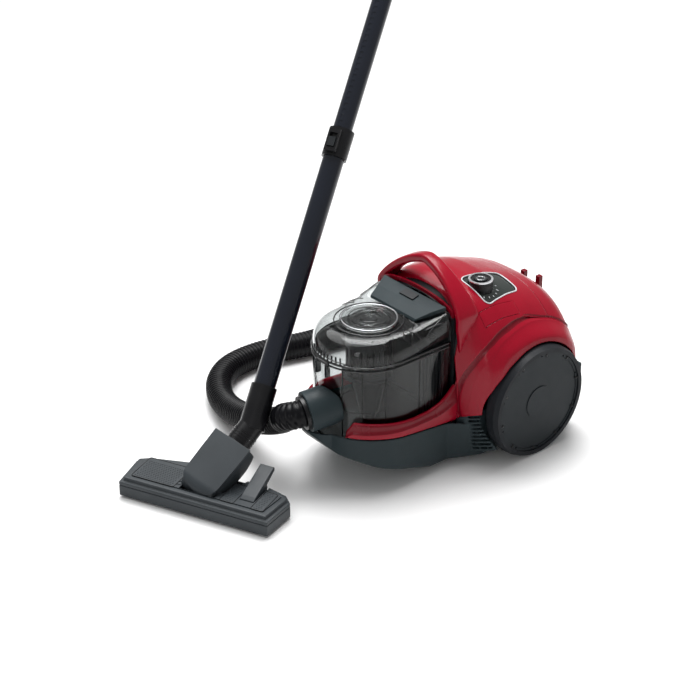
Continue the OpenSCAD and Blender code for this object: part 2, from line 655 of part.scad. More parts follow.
module floor_pedal() color(slate) at_place() in_head() difference() {
    translate([73, 0, 0]) slab(11) union() {
        polygon([[27, 30], [27.5, 33.5], [34, 37], [89, 56.5], [91, 54], [90, 50], [70, 40], [56, 34]]);
        translate(pedal_axis) circle(r = 5);
    }
    translate([50, pedal_axis.x, pedal_axis.y]) rotate([0, 90, 0]) cylinder(r = 1.6, h = 40);
}
module head_rollers() color(black) at_place() in_head() for (x = [-110, 94])
    translate([x, 38, 5.5]) rotate([0, 90, 0]) cylinder(r = 5.5, h = 16);
module bristle_strips() color(black) at_place() in_head() {
    box([-103.7, 12.3, 0.4], [103.7, 17.7, 9.9]);
    box([-103.7, 54.3, 0.4], [103.7, 59.7, 9.9]);
}

// ---- Neck and tubes ----

collar_start = seam_point - collar_len * neck_dir;
neck_len = norm(collar_start - pivot);
hood_in = [[-17, -2], [-20.5, 70], [-14, 75], [6, 74], [20, 66], [28, 52], [27, 34], [22, 15], [15, 0]];
module neck() color(slate) at_place() difference() {
    union() {
        in_head() translate([0, pivot_v, pivot_z]) rotate([0, 90, 0]) translate([0, 0, -drum_w / 2])
            cylinder(r = drum_r, h = drum_w);
        // Hood: its side outline and its plan outline meet
        intersection() {
            along(pivot, neck_dir) translate([0, 40, 0]) rotate([90, 0, 0]) linear_extrude(80)
                polygon(hood_in);
            along(pivot, neck_dir) rotate([0, 90, 0]) translate([0, 0, -40]) linear_extrude(80)
                polygon([[4, -22], [-10, -30], [-40, -32.5], [-80, -33], [-80, 33], [-40, 32.5], [-10, 30], [4, 22]]);
            in_head() translate([0, pivot_v, pivot_z]) union() {
                rotate([0, 90, 0]) translate([0, 0, -60]) cylinder(r = 23, h = 120);
                box([-60, 0, -60], [100, 100, 100]);
            }
        }
        along(pivot + 20 * neck_dir, neck_dir) cylinder(r = neck_r, h = neck_len - 20.2);
    }
    along(pivot + 24 * neck_dir, neck_dir) cylinder(r = neck_r - 2, h = neck_len);
}
module swivel_collar() color(charcoal) at_place() difference() {
    union() {
        along(collar_start, neck_dir) cylinder(r = neck_r, h = collar_len);
        for (i = [0 : 3]) along(collar_start + (3 + 4.5 * i) * neck_dir, neck_dir) cylinder(r = neck_r + 0.8, h = 2.2);
        along(seam_point - 7 * tube_dir, tube_dir) cylinder(r = neck_r + 1, h = socket_len + 7);
    }
    along(collar_start - neck_dir, neck_dir) cylinder(r = tube_in_r - 1, h = collar_len + 1);
    tube_frame(3) cylinder(r = tube_r + fit, h = socket_len);
    tube_frame(-8) cylinder(r = tube_in_r - 1, h = socket_len);
}
module lower_tube() color(black) at_place() tube_frame(4) ring(tube_r, tube_in_r, lower_len);
collar_base = 4 + lower_len - collar_h + 6;
module adjuster_collar() color(black) at_place() tube_frame(collar_base) difference() {
    union() {
        cylinder(r = tube_r + 3, h = collar_h);
        box([-25, -9, 4], [-12, 9, collar_h - 6]);
    }
    translate([0, 0, -1]) cylinder(r = tube_r + fit, h = collar_h - 5);
    translate([0, 0, -1]) cylinder(r = upper_r + 0.25, h = collar_h + 2);
    box([-30, -6, 10], [-tube_r - 4, 6, collar_h - 12]);
}
module adjuster_button() color(slate) at_place() tube_frame(collar_base)
    box([-27, -5.6, 11], [-tube_r - 4.4, 5.6, collar_h - 19]);
module upper_tube() color(black) at_place() tube_frame(4 + lower_len - overlap) difference() {
    ring(upper_r, upper_in_r, upper_len);
    for (i = [1 : notch_count]) translate([0, 0, 20 + notch_pitch * i])
        box([-20, -3, 0], [0.8 - upper_r, 3, notch_pitch - 4]);
}

// Tool clip on the rear, prongs upwards
module tool_clip() color(dark_red) at_place() {
    box([-7, 232.2, 196], [1, 240, 211]);
    box([25, 232.2, 196], [33, 240, 214]);
    box([-7, 232.2, 184], [33, 240, 196.1]);
}

base_shell();
body_shell();
rear_hood();
fender_left();
fender_right();
front_bow();
carry_handle();
bay_rim();
bay_wall();
control_panel();
power_knob();
knob_ring();
power_button();
rewind_button();
tool_clip();
exhaust_grille();
exhaust_filter();
motor_housing();
fan_cover();
motor_fan();
motor_mounts();
control_board();
cable_reel();
reel_axle();
bin_tray();
wheel_axles();
tyre_left();
tyre_right();
wheel_disc_left();
wheel_disc_right();
caster_fork();
caster_wheel();
dust_bin();
bin_lid();
lid_disc();
lid_hinge();
bin_handle();
bin_latch();
cyclone_shroud();
cyclone_cone();
pleated_filter();
inlet_socket();
hose_connector();
hose_cuff();
hose();
grip_collar();
hand_grip();
air_slider();
head_sole();
head_cover();
head_inlay();
floor_pedal();
head_rollers();
bristle_strips();
neck();
swivel_collar();
lower_tube();
adjuster_collar();
adjuster_button();
upper_tube();
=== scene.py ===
import math

import bpy
import numpy as np
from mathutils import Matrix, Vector


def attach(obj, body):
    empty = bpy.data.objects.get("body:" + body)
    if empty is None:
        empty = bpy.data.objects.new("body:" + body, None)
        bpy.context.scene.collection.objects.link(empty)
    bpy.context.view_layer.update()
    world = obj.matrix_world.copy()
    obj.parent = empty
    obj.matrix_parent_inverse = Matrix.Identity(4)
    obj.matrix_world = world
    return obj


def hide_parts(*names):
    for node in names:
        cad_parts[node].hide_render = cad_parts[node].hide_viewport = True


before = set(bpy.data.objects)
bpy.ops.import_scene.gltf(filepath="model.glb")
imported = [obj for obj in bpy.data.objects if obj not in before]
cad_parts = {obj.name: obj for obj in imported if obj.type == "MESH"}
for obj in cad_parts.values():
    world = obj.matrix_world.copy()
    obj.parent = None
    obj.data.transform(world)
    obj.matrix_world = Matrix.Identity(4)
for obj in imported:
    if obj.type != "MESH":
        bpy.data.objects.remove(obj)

# Sizes and places are in millimetres in the canister's own axes, as in the CAD source: X to its
# left, Y to its rear, Z up. place() turns them into the frame's metres.
MM = 0.001
SHIFT = np.array([75.2, 79.6, 0.0])
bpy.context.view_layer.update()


def place(points):
    """Canister millimetres to frame metres."""
    return (np.asarray(points, dtype=float) + SHIFT) * MM


def unit(v):
    v = np.asarray(v, dtype=float)
    return v / np.linalg.norm(v)


# ---------------------------------------------------------------- camera

LENS = 103.1
SENSOR_WIDTH = 36.0
CAMERA_EYE = [1905.1, -1692.4, 1570.1]
CAMERA_TARGET = [-132.9, 2.6, 100.0]


def add_camera():
    data = bpy.data.cameras.new("camera")
    data.lens = LENS
    data.sensor_width = SENSOR_WIDTH
    data.clip_end = 50.0
    cam = bpy.data.objects.new("camera", data)
    bpy.context.scene.collection.objects.link(cam)
    eye = Vector(place(CAMERA_EYE))
    target = Vector(place(CAMERA_TARGET))
    cam.location = eye
    cam.rotation_euler = (target - eye).to_track_quat("-Z", "Y").to_euler()
    bpy.context.scene.camera = cam


add_camera()


# ---------------------------------------------------------------- mesh helpers

def add_mesh(name, points, faces, material, body, node=None, smooth=True):
    """A mesh object from canister millimetres that rides on a body and may stand for CAD nodes."""
    mesh = bpy.data.meshes.new(name)
    corners = [tuple(int(i) for i in f) for f in faces]
    mesh.from_pydata([tuple(p) for p in place(points)], [], corners)
    mesh.validate()
    mesh.update()
    if smooth:
        mesh.shade_smooth()
    obj = bpy.data.objects.new(name, mesh)
    bpy.context.scene.collection.objects.link(obj)
    materials = material if isinstance(material, (list, tuple)) else [material]
    for m in materials:
        mesh.materials.append(m)
    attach(obj, body)
    if node:
        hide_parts(*([node] if isinstance(node, str) else node))
    return obj


def smooth_path(points, step):
    """A Catmull-Rom curve through the points, resampled evenly."""
    p = np.asarray(points, dtype=float)
    p = np.vstack([2 * p[0] - p[1], p, 2 * p[-1] - p[-2]])
    fine = []
    for i in range(1, len(p) - 2):
        for t in np.linspace(0, 1, 16, endpoint=False):
            a, b, c, d = p[i - 1], p[i], p[i + 1], p[i + 2]
            fine.append(0.5 * (2 * b + (c - a) * t + (2 * a - 5 * b + 4 * c - d) * t * t
                               + (3 * b - a - 3 * c + d) * t ** 3))
    fine.append(p[-2])
    return resample(np.array(fine), step)


def resample(points, step):
    s = np.concatenate([[0], np.cumsum(np.linalg.norm(np.diff(points, axis=0), axis=1))])
    count = max(2, int(round(s[-1] / step)) + 1)
    at = np.linspace(0, s[-1], count)
    return np.stack([np.interp(at, s, points[:, k]) for k in range(3)], axis=1)


def frames_along(path, start_dir=None, end_dir=None):
    """Tangent and two normals at each point, carried along without twisting."""
    tangent = np.gradient(path, axis=0)
    tangent /= np.linalg.norm(tangent, axis=1)[:, None]
    if start_dir is not None:
        tangent[0] = unit(start_dir)
    if end_dir is not None:
        tangent[-1] = unit(end_dir)
    first = np.cross(tangent[0], [0, 0, 1])
    if np.linalg.norm(first) < 0.1:
        first = np.cross(tangent[0], [0, 1, 0])
    normals = [unit(first)]
    for i in range(1, len(path)):
        n = normals[-1] - tangent[i] * np.dot(normals[-1], tangent[i])
        normals.append(unit(n))
    normals = np.array(normals)
    return tangent, normals, np.cross(tangent, normals)


def sweep(path, radii, sides, start_dir=None, end_dir=None):
    """Points and faces of a round tube with closed ends; radii is one number for each ring."""
    radii = np.broadcast_to(np.asarray(radii, dtype=float), (len(path),))
    _, a, b = frames_along(path, start_dir, end_dir)
    angle = np.linspace(0, 2 * math.pi, sides, endpoint=False)
    across = np.cos(angle)[None, :, None] * a[:, None, :] + np.sin(angle)[None, :, None] * b[:, None, :]
    rings = path[:, None, :] + radii[:, None, None] * across
    return rings.reshape(-1, 3), capped_faces(len(path), sides)


def ring_faces(rows, cols):
    """Quads between closed rings."""
    return [[i * cols + k, i * cols + (k + 1) % cols, (i + 1) * cols + (k + 1) % cols, (i + 1) * cols + k]
            for i in range(rows - 1) for k in range(cols)]


def capped_faces(rows, cols):
    """Quads between closed rings, and a face over each end."""
    first = list(range(cols))[::-1]
    last = [(rows - 1) * cols + k for k in range(cols)]
    return ring_faces(rows, cols) + [first, last]


def strip_faces(rows, cols):
    """Quads of an open grid."""
    return [[i * cols + k, i * cols + k + 1, (i + 1) * cols + k + 1, (i + 1) * cols + k]
            for i in range(rows - 1) for k in range(cols - 1)]


def lathe(profile, origin, axis, steps=96, closed=True):
    """Points and faces of a turned shape; the profile is (radius, height) pairs, joined end to
    start where it is closed."""
    axis = unit(axis)
    side = unit(np.cross(axis, [0, 0, 1] if abs(axis[2]) < 0.9 else [1, 0, 0]))
    other = np.cross(axis, side)
    angle = np.linspace(0, 2 * math.pi, steps, endpoint=False)
    circle = np.cos(angle)[:, None] * side + np.sin(angle)[:, None] * other
    points = np.concatenate([np.asarray(origin) + axis * h + r * circle for r, h in profile])
    rows = len(profile)
    faces = ring_faces(rows, steps)
    if closed:
        faces += [[(rows - 1) * steps + k, (rows - 1) * steps + (k + 1) % steps, (k + 1) % steps, k]
                  for k in range(steps)]
    return points, faces


def add_rod(name, points, radius, material, body, sides=8, closed=False):
    """A thin round rib or line along points."""
    path = np.asarray(points, dtype=float)
    if closed:
        path = np.vstack([path, path[:1]])
    pts, faces = sweep(path, radius, sides)
    return add_mesh(name, pts, faces, material, body)


def upright(x, y, low, high):
    return [[x, y, low], [x, y, high]]


def smooth_table(table, at, width):
    """Straight-line lookup rounded over a window of that width."""
    keys = np.array([t[0] for t in table], dtype=float)
    values = np.array([t[1] for t in table], dtype=float)
    offsets = np.linspace(-width / 2, width / 2, 9)
    weights = np.cos(np.linspace(-math.pi / 2, math.pi / 2, 9)) + 0.05
    at = np.asarray(at, dtype=float)
    total = sum(w * np.interp(at + o, keys, values) for w, o in zip(weights, offsets))
    return total / weights.sum()


def solid(obj, thickness):
    """Gives a skin its wall, inwards."""
    m = obj.modifiers.new("thickness", "SOLIDIFY")
    m.thickness = thickness * MM
    m.offset = -1.0


def round_edges(obj, width, segments=3, angle=35):
    m = obj.modifiers.new("edges", "BEVEL")
    m.width = width * MM
    m.segments = segments
    m.limit_method = "ANGLE"
    m.angle_limit = math.radians(angle)
    m.harden_normals = False


def soften(obj, voxel, passes):
    """Rounds every edge of a moulded piece."""
    m = obj.modifiers.new("skin", "REMESH")
    m.mode = "VOXEL"
    m.voxel_size = voxel * MM
    m.use_smooth_shade = True
    s = obj.modifiers.new("soft edges", "SMOOTH")
    s.factor = 0.5
    s.iterations = passes


# ---------------------------------------------------------------- materials

def new_material(name):
    m = bpy.data.materials.new(name)
    m.use_nodes = True
    tree = m.node_tree
    return m, tree, tree.nodes["Principled BSDF"]


def noise(tree, scale, detail=3.0):
    coords = tree.nodes.new("ShaderNodeTexCoord")
    n = tree.nodes.new("ShaderNodeTexNoise")
    n.inputs["Scale"].default_value = scale
    n.inputs["Detail"].default_value = detail
    tree.links.new(coords.outputs["Object"], n.inputs["Vector"])
    return n


def spread(tree, source, low, high):
    """Noise turned into a value between low and high."""
    r = tree.nodes.new("ShaderNodeMapRange")
    r.inputs["From Min"].default_value = 0.3
    r.inputs["From Max"].default_value = 0.7
    r.inputs["To Min"].default_value = low
    r.inputs["To Max"].default_value = high
    tree.links.new(source, r.inputs["Value"])
    return r.outputs["Result"]


def tint(tree, source, dark, light):
    """Noise turned into a colour between dark and light."""
    ramp = tree.nodes.new("ShaderNodeValToRGB")
    ramp.color_ramp.elements[0].position = 0.35
    ramp.color_ramp.elements[1].position = 0.65
    ramp.color_ramp.elements[0].color = (*dark, 1)
    ramp.color_ramp.elements[1].color = (*light, 1)
    tree.links.new(source, ramp.inputs["Fac"])
    return ramp.outputs["Color"]


def bump(tree, shader, source, strength, distance):
    b = tree.nodes.new("ShaderNodeBump")
    b.inputs["Strength"].default_value = strength
    b.inputs["Distance"].default_value = distance
    tree.links.new(source, b.inputs["Height"])
    tree.links.new(b.outputs["Normal"], shader.inputs["Normal"])


def plastic(name, color, roughness, variation=0.08, grain=0.2, grain_size=0.0006, coat=0.0, metal=0.0,
            shine=0.5):
    """Moulded or painted surface: slight colour drift, uneven gloss and a fine grain."""
    m, tree, shader = new_material(name)
    drift = noise(tree, 18.0)
    dark, light = (tuple(np.array(color) * f) for f in (1 - variation, 1 + variation))
    tree.links.new(tint(tree, drift.outputs["Fac"], dark, light), shader.inputs["Base Color"])
    patches = noise(tree, 45.0, 4.0)
    tree.links.new(spread(tree, patches.outputs["Fac"], roughness * 0.85, roughness * 1.15),
                   shader.inputs["Roughness"])
    fine = noise(tree, 1.0 / grain_size, 2.0)
    bump(tree, shader, fine.outputs["Fac"], grain, grain_size * 0.25)
    shader.inputs["Coat Weight"].default_value = coat
    shader.inputs["Coat Roughness"].default_value = 0.05
    shader.inputs["Metallic"].default_value = metal
    shader.inputs["Specular IOR Level"].default_value = shine
    return m


def smoky(name, color, roughness):
    """Clear plastic, slightly wavy."""
    m, tree, shader = new_material(name)
    patches = noise(tree, 30.0)
    tree.links.new(spread(tree, patches.outputs["Fac"], roughness * 0.6, roughness * 1.6),
                   shader.inputs["Roughness"])
    shader.inputs["Base Color"].default_value = (*color, 1)
    shader.inputs["Transmission Weight"].default_value = 1.0
    shader.inputs["IOR"].default_value = 1.3
    waviness = noise(tree, 60.0)
    bump(tree, shader, waviness.outputs["Fac"], 0.01, 0.0003)
    return m


RED = plastic("red_gloss", (0.27, 0.0012, 0.013), 0.22, 0.05, 0.05, 0.0015, coat=0.04, shine=0.22)
# Darker copy of the red gloss: painted shade on the hollow bands over the wheels and along the bow; the
# bay's rim and the tool clip use it too.
DARK_RED_AND_SHADE = plastic("dark_red_gloss_and_painted_shade", (0.15, 0.001, 0.008), 0.26, 0.06, 0.05, 0.0015, shine=0.25)
SLATE = plastic("slate_plastic", (0.021, 0.031, 0.035), 0.45, 0.08, 0.25, shine=0.16)
CHARCOAL = plastic("charcoal_plastic", (0.012, 0.014, 0.016), 0.42, 0.1, 0.25, shine=0.22)
BLACK = plastic("black_plastic", (0.004, 0.004, 0.005), 0.3, 0.1, 0.15, shine=0.3)
PANEL = plastic("panel_gloss", (0.022, 0.027, 0.025), 0.15, 0.05, 0.03, 0.002, shine=0.4)
SILVER = plastic("silver_trim", (0.62, 0.63, 0.65), 0.28, 0.04, 0.1, metal=1.0)
TRIM = plastic("light_trim", (0.62, 0.64, 0.66), 0.3, 0.04, 0.1)
STEEL = plastic("turned_steel", (0.45, 0.45, 0.47), 0.3, 0.05, 0.3, metal=1.0)
FOAM = plastic("filter_foam", (0.03, 0.03, 0.03), 0.9, 0.3, 0.9, 0.0012)
RUBBER = plastic("soft_rubber", (0.012, 0.012, 0.013), 0.6, 0.15, 0.4)
TYRE = plastic("tyre_rubber", (0.012, 0.014, 0.017), 0.5, 0.08, 0.35, shine=0.16)
DISC = plastic("wheel_disc", (0.013, 0.017, 0.020), 0.4, 0.08, 0.3, shine=0.15)
BOARD = plastic("circuit_board", (0.02, 0.1, 0.05), 0.5, 0.3, 0.4)
HOSE = plastic("hose_plastic", (0.003, 0.003, 0.004), 0.3, 0.1, 0.1, shine=0.14)
TUBE = plastic("tube_lacquer", (0.006, 0.008, 0.014), 0.2, 0.06, 0.06, coat=0.15, shine=0.35)
HEAD = plastic("head_plastic", (0.030, 0.036, 0.041), 0.42, 0.08, 0.3, shine=0.3)
BRISTLE = plastic("bristle", (0.01, 0.01, 0.01), 0.8, 0.3, 0.8, 0.001)
SMOKE = smoky("smoky_clear", (0.70, 0.72, 0.72), 0.03)
SMOKE_DARK = plastic("smoky_rib", (0.006, 0.007, 0.008), 0.12, 0.1, 0.05, coat=0.4)

# Materials of the CAD nodes that stay visible
NODE_MATERIAL = {
    "base_shell": SLATE, "bay_wall": CHARCOAL, "exhaust_grille": CHARCOAL, "exhaust_filter": FOAM,
    "motor_housing": STEEL, "fan_cover": STEEL, "motor_fan": CHARCOAL, "motor_mounts": RUBBER,
    "control_board": BOARD, "cable_reel": CHARCOAL, "reel_axle": STEEL, "bin_tray": CHARCOAL,
    "wheel_axles": STEEL, "tyre_left": TYRE, "tyre_right": TYRE, "wheel_disc_left": DISC,
    "wheel_disc_right": DISC, "caster_fork": CHARCOAL, "caster_wheel": RUBBER, "dust_bin": SMOKE,
    "lid_disc": SMOKE, "lid_hinge": SMOKE_DARK, "bin_handle": SLATE, "bin_latch": CHARCOAL,
    "cyclone_shroud": BLACK, "cyclone_cone": CHARCOAL, "pleated_filter": CHARCOAL, "inlet_socket": SLATE,
    "hose_connector": BLACK, "grip_collar": CHARCOAL, "air_slider": SLATE, "head_sole": HEAD,
    "head_inlay": HEAD, "head_cover": HEAD, "floor_pedal": HEAD, "head_rollers": BLACK,
    "bristle_strips": BRISTLE, "swivel_collar": BLACK, "lower_tube": TUBE, "adjuster_collar": BLACK,
    "adjuster_button": CHARCOAL, "upper_tube": TUBE, "knob_ring": SILVER, "power_button": CHARCOAL,
    "tool_clip": DARK_RED_AND_SHADE, "bay_rim": DARK_RED_AND_SHADE,
}
for node_name, node_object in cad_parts.items():
    node_object.data.materials.clear()
    node_object.data.materials.append(NODE_MATERIAL.get(node_name, CHARCOAL))


# ---------------------------------------------------------------- hose

HOSE_D = 41.0
RIB_PITCH = 6.3
PATH_STEP = 1.05
HOSE_POINTS = [
    [-34, -201, 105], [-54, -188.4, 88], [-78, -187.3, 73.6], [-102, -188, 63], [-126, -187, 54],
    [-151, -183, 46], [-176, -178, 38], [-201, -172, 31], [-226, -164, 25], [-250, -155, 22],
    [-272, -143, 21], [-292, -128, 21], [-309, -108, 21], [-320, -86, 21], [-325, -60, 21],
    [-325, -33, 21], [-321, -7, 21], [-314, 18, 21], [-306, 44, 21], [-300, 72, 21],
    [-298, 105, 21], [-301, 140, 21], [-304, 180, 21], [-304, 222, 21], [-298, 264, 21],
    [-281, 306, 21], [-254, 343, 21], [-217, 373, 21], [-174, 391, 21], [-130, 394, 21],
    [-90, 378, 21], [-62, 348, 21], [-52, 312, 21], [-62, 279, 21], [-88, 260, 21], [-116, 255, 21]]
# Mouth of the connector and the way it points
SOCKET_RIM = np.array([-6.0, -184.0, 120.0])
SOCKET_DIR = unit([-0.3, -0.94, -0.15])
GRIP_DIR = [-1, 0.04, 0]


def ribbed_radii(path, depth):
    """Corrugated hose: round-topped ribs with narrow valleys."""
    s = np.concatenate([[0], np.cumsum(np.linalg.norm(np.diff(path, axis=0), axis=1))])
    wave = np.abs(np.cos(math.pi * s / RIB_PITCH)) ** 0.7
    return HOSE_D / 2 - depth * (1 - wave)


def make_hose():
    path = smooth_path(HOSE_POINTS, PATH_STEP)
    pts, faces = sweep(path, ribbed_radii(path, 2.6), 30)
    hose = add_mesh("corrugated_hose", pts, faces, HOSE, "canister", "hose")
    grip = make_hand_grip()


def make_hand_grip():
    """Slightly bent handle with a waist, from the grip collar to the end of the hose."""
    start = np.array(HOSE_POINTS[-1], dtype=float) + 24 * unit(GRIP_DIR)
    bend = [np.array([-140 - 20 * i, 256 + 0.34 * i * i, 21 + 0.25 * i * i]) for i in range(1, 7)]
    path = smooth_path([start] + bend, 1.5)
    s = np.linspace(0, 1, len(path))
    radii = 15.0 + 1.4 * np.cos(s * 2 * math.pi) ** 2 - 1.0 * np.exp(-((s - 0.55) / 0.12) ** 2)
    radii[:3] = [14.2, 15.6, 16.3]
    radii[-3:] = [15.9, 15.4, 14.2]
    pts, faces = sweep(path, radii, 40, start_dir=GRIP_DIR)
    return add_mesh("hand_grip_shell", pts, faces, CHARCOAL, "canister", "hand_grip")


def make_cuff():
    """Short bend from the connector to the hose, corrugated like the hose."""
    a = SOCKET_RIM + 6 * SOCKET_DIR
    d = np.array(HOSE_POINTS[0], dtype=float)
    end_dir = unit(np.array(HOSE_POINTS[1]) - d)
    b = a + 12 * SOCKET_DIR
    c = d - 12 * end_dir
    t = np.linspace(0, 1, 80)[:, None]
    curve = (1 - t) ** 3 * a + 3 * t * (1 - t) ** 2 * b + 3 * t * t * (1 - t) * c + t ** 3 * d
    path = resample(curve, 1.0)
    pts, faces = sweep(path, ribbed_radii(path, 2.2), 36, SOCKET_DIR, end_dir)
    add_mesh("hose_bend", pts, faces, HOSE, "canister", "hose_cuff")


make_hose()
make_cuff()


# ---------------------------------------------------------------- red body

# Half width and top height of the body along its length
BODY_WIDTH = [(20, 86), (26, 98), (36, 115), (48, 129), (62, 137), (90, 140), (170, 140),
              (195, 138), (205, 136), (215, 132), (223, 123), (229, 111), (232, 98)]
BODY_TOP = [(20, 250), (36, 257), (60, 262), (90, 262), (120, 257), (150, 247), (180, 236),
            (200, 228), (215, 218), (223, 209), (229, 197), (232, 186)]
BODY_FLOOR = 70.0
BODY_POWER = 2.6
AXLE_Y = 130.0
WHEEL_R = 87.4
ARCH_R = WHEEL_R + 3.6
HOOD_Y = 178.0
SEAM = 0.45
SHELL_WALL = 2.4
BODY_GIRTH = 460


def body_size(y):
    """Half width and height above BODY_FLOOR at a place along the body."""
    return smooth_table(BODY_WIDTH, y, 7), smooth_table(BODY_TOP, y, 14) - BODY_FLOOR


def body_point(y, t):
    """Points of the crowned body: t runs from the left side over the top to the right side."""
    w, h = body_size(y)
    c, s = np.cos(t), np.sin(t)
    x = w * np.sign(c) * np.abs(c) ** (2 / BODY_POWER)
    z = BODY_FLOOR + h * np.maximum(s, 0) ** (2 / BODY_POWER)
    return np.stack([x, y + 0 * t, z], axis=-1)


def wheel_distance(p):
    return np.hypot(p[..., 1] - AXLE_Y, p[..., 2] - WHEEL_R)


def step(a, b, v):
    """Smooth rise from 0 at a to 1 at b."""
    s = np.clip((v - a) / (b - a), 0, 1)
    return s * s * (3 - 2 * s)


def body_grid(y_values, t_values):
    """Points and outward normals of the body."""
    y, t = np.meshgrid(y_values, t_values, indexing="ij")
    p = body_point(y, t)
    dy = np.gradient(p, axis=0)
    dt = np.gradient(p, axis=1)
    n = np.cross(dt, dy)
    n /= np.maximum(np.linalg.norm(n, axis=-1, keepdims=True), 1e-9)
    middle = np.array([0, 126, 120])
    flip = np.sign(((p - middle) * n).sum(-1, keepdims=True))
    n = n * np.where(flip == 0, 1, flip)
    return p, n


def carve(p, keep):
    """Moves grid points onto the line where keep is zero and returns which points stay.
    keep gives a signed distance, positive where the surface stays."""
    g = keep(p)
    inside = g > 0
    moved = np.zeros(inside.shape, dtype=bool)
    result = p.copy()
    best = np.full(inside.shape, np.inf)
    rows, cols = inside.shape
    for di, dj in ((1, 0), (-1, 0), (0, 1), (0, -1)):
        i0, i1 = max(0, -di), min(rows, rows - di)
        j0, j1 = max(0, -dj), min(cols, cols - dj)
        here = (slice(i0, i1), slice(j0, j1))
        there = (slice(i0 + di, i1 + di), slice(j0 + dj, j1 + dj))
        cross = (~inside[here]) & inside[there]
        f = g[there] / np.maximum(g[there] - g[here], 1e-9)
        point = p[there] + (p[here] - p[there]) * f[..., None]
        far = np.linalg.norm(point - p[here], axis=-1)
        take = cross & (far < best[here])
        result[here] = np.where(take[..., None], point, result[here])
        best[here] = np.where(take, far, best[here])
        moved[here] |= take
    return result, inside | moved


def grid_mesh(p, stays):
    """Quads of a grid between points that stay."""
    rows, cols = stays.shape
    index = -np.ones((rows, cols), dtype=int)
    index[stays] = np.arange(stays.sum())
    faces = []
    for i in range(rows - 1):
        for j in range(cols - 1):
            if stays[i, j] and stays[i, j + 1] and stays[i + 1, j + 1] and stays[i + 1, j]:
                faces.append([index[i, j], index[i + 1, j], index[i + 1, j + 1], index[i, j + 1]])
    return p[stays], faces


# In plan: the rewind strip (x and y ranges), the control panel's corners and the knob's axis
PAD = (88.0, 103.0, 57.0, 124.0)
PANEL_CORNERS = [(28, 72), (86, 76), (72, 150), (30, 147)]
PANEL_CORNER_R = 9
KNOB = (53.0, 92.0)
KNOB_HOLE_R = 18.3


def inside_rectangle(p, x0, x1, y0, y1):
    """Signed distance in plan, positive inside."""
    return np.minimum.reduce([p[..., 0] - x0, x1 - p[..., 0], p[..., 1] - y0, y1 - p[..., 1]])


def inside_polygon(p, corners, corner_radius):
    """Signed distance in plan to a convex outline with rounded corners, positive inside."""
    c = np.array(corners, dtype=float)
    dist = []
    for a, b in zip(c, np.roll(c, -1, axis=0)):
        d = unit(b - a)
        dist.append(d[0] * (p[..., 1] - a[1]) - d[1] * (p[..., 0] - a[0]))
    inner = np.array(dist) - corner_radius
    nearest = inner.min(axis=0)
    outside = -np.sqrt((np.minimum(inner, 0) ** 2).sum(axis=0))
    return np.where(nearest > 0, nearest, outside) + corner_radius


def shell_part(name, y_range, keep, material, body, node, lift=0.0, thickness=SHELL_WALL, spacing=1.3,
               t_range=(0.0, math.pi)):
    """Part of the body's skin that keep leaves standing, moved outwards by lift."""
    y_values = np.linspace(y_range[0], y_range[1], int((y_range[1] - y_range[0]) / spacing) + 2)
    count = int(BODY_GIRTH * (t_range[1] - t_range[0]) / (math.pi * spacing)) + 2
    t_values = np.linspace(t_range[0], t_range[1], count)
    p, n = body_grid(y_values, t_values)
    p, stays = carve(p, keep)
    pts, faces = grid_mesh(p + n * lift, stays)
    solid(add_mesh(name, pts, faces, material, body, node), thickness)


# Upper edge of the base's cheek along the body
CHEEK_TOP = [(17, 72), (22.4, 75), (25.5, 79), (29, 82.4), (36, 86.3), (47, 89.3), (66, 90)]
BUMPER_TOP = 106.0
# Radius of three lines about the wheel's axle, by angle_ahead
FENDER_LINE = [(-8, 100), (0, 101), (14, 103), (36, 113.5), (59, 121.5), (82, 117.2), (103, 115.8),
               (124, 117), (150, 116), (172, 103)]
BAND_REAR = [(-8, 105), (3.5, 107), (20, 112), (36.7, 119), (52.5, 126.4), (62, 125.5), (75, 121.4),
             (86, 120.4), (94, 119), (106, 116.8), (124, 118), (150, 117), (172, 104)]
BAND_FRONT = [(-8, 109), (3.5, 111.5), (21, 118), (34.4, 124.5), (49.5, 132.8), (60.3, 135.4), (71, 132.8),
              (82, 129.5), (90, 126), (98, 121), (106, 118), (124, 119), (150, 118), (172, 105)]
FRONT_Y = 20.0
REAR_Y = 231.5
BODY_END = 232.0
EVERYWHERE = 50.0


def angle_ahead(y, z):
    """Angle about the wheel's axle in degrees, from straight ahead over the top."""
    return np.degrees(np.arctan2(z - WHEEL_R, AXLE_Y - y))


def band_radius(table, angle):
    """Radius of a line round the wheel, kept inside the body's length."""
    a = np.radians(angle)
    front = (AXLE_Y - FRONT_Y) / np.maximum(np.cos(a), 0.05)
    rear = (REAR_Y - AXLE_Y) / np.maximum(-np.cos(a), 0.05)
    return np.minimum.reduce([smooth_table(table, angle, 8), front, rear])


def outside_band(p):
    """Signed distance outwards from the edge of the hollow band; large away from the sides."""
    angle = angle_ahead(p[..., 1], p[..., 2])
    away = wheel_distance(p) - band_radius(BAND_FRONT, angle) + 1.2
    return np.where(np.abs(p[..., 0]) > 78, away, EVERYWHERE)


def side_x(y, z, power):
    """Half width of the body at a height; a higher power makes fuller shoulders."""
    w, h = body_size(y)
    up = np.clip((z - BODY_FLOOR) / h, 0, 0.999)
    return w * (1 - up ** power) ** (1 / power)


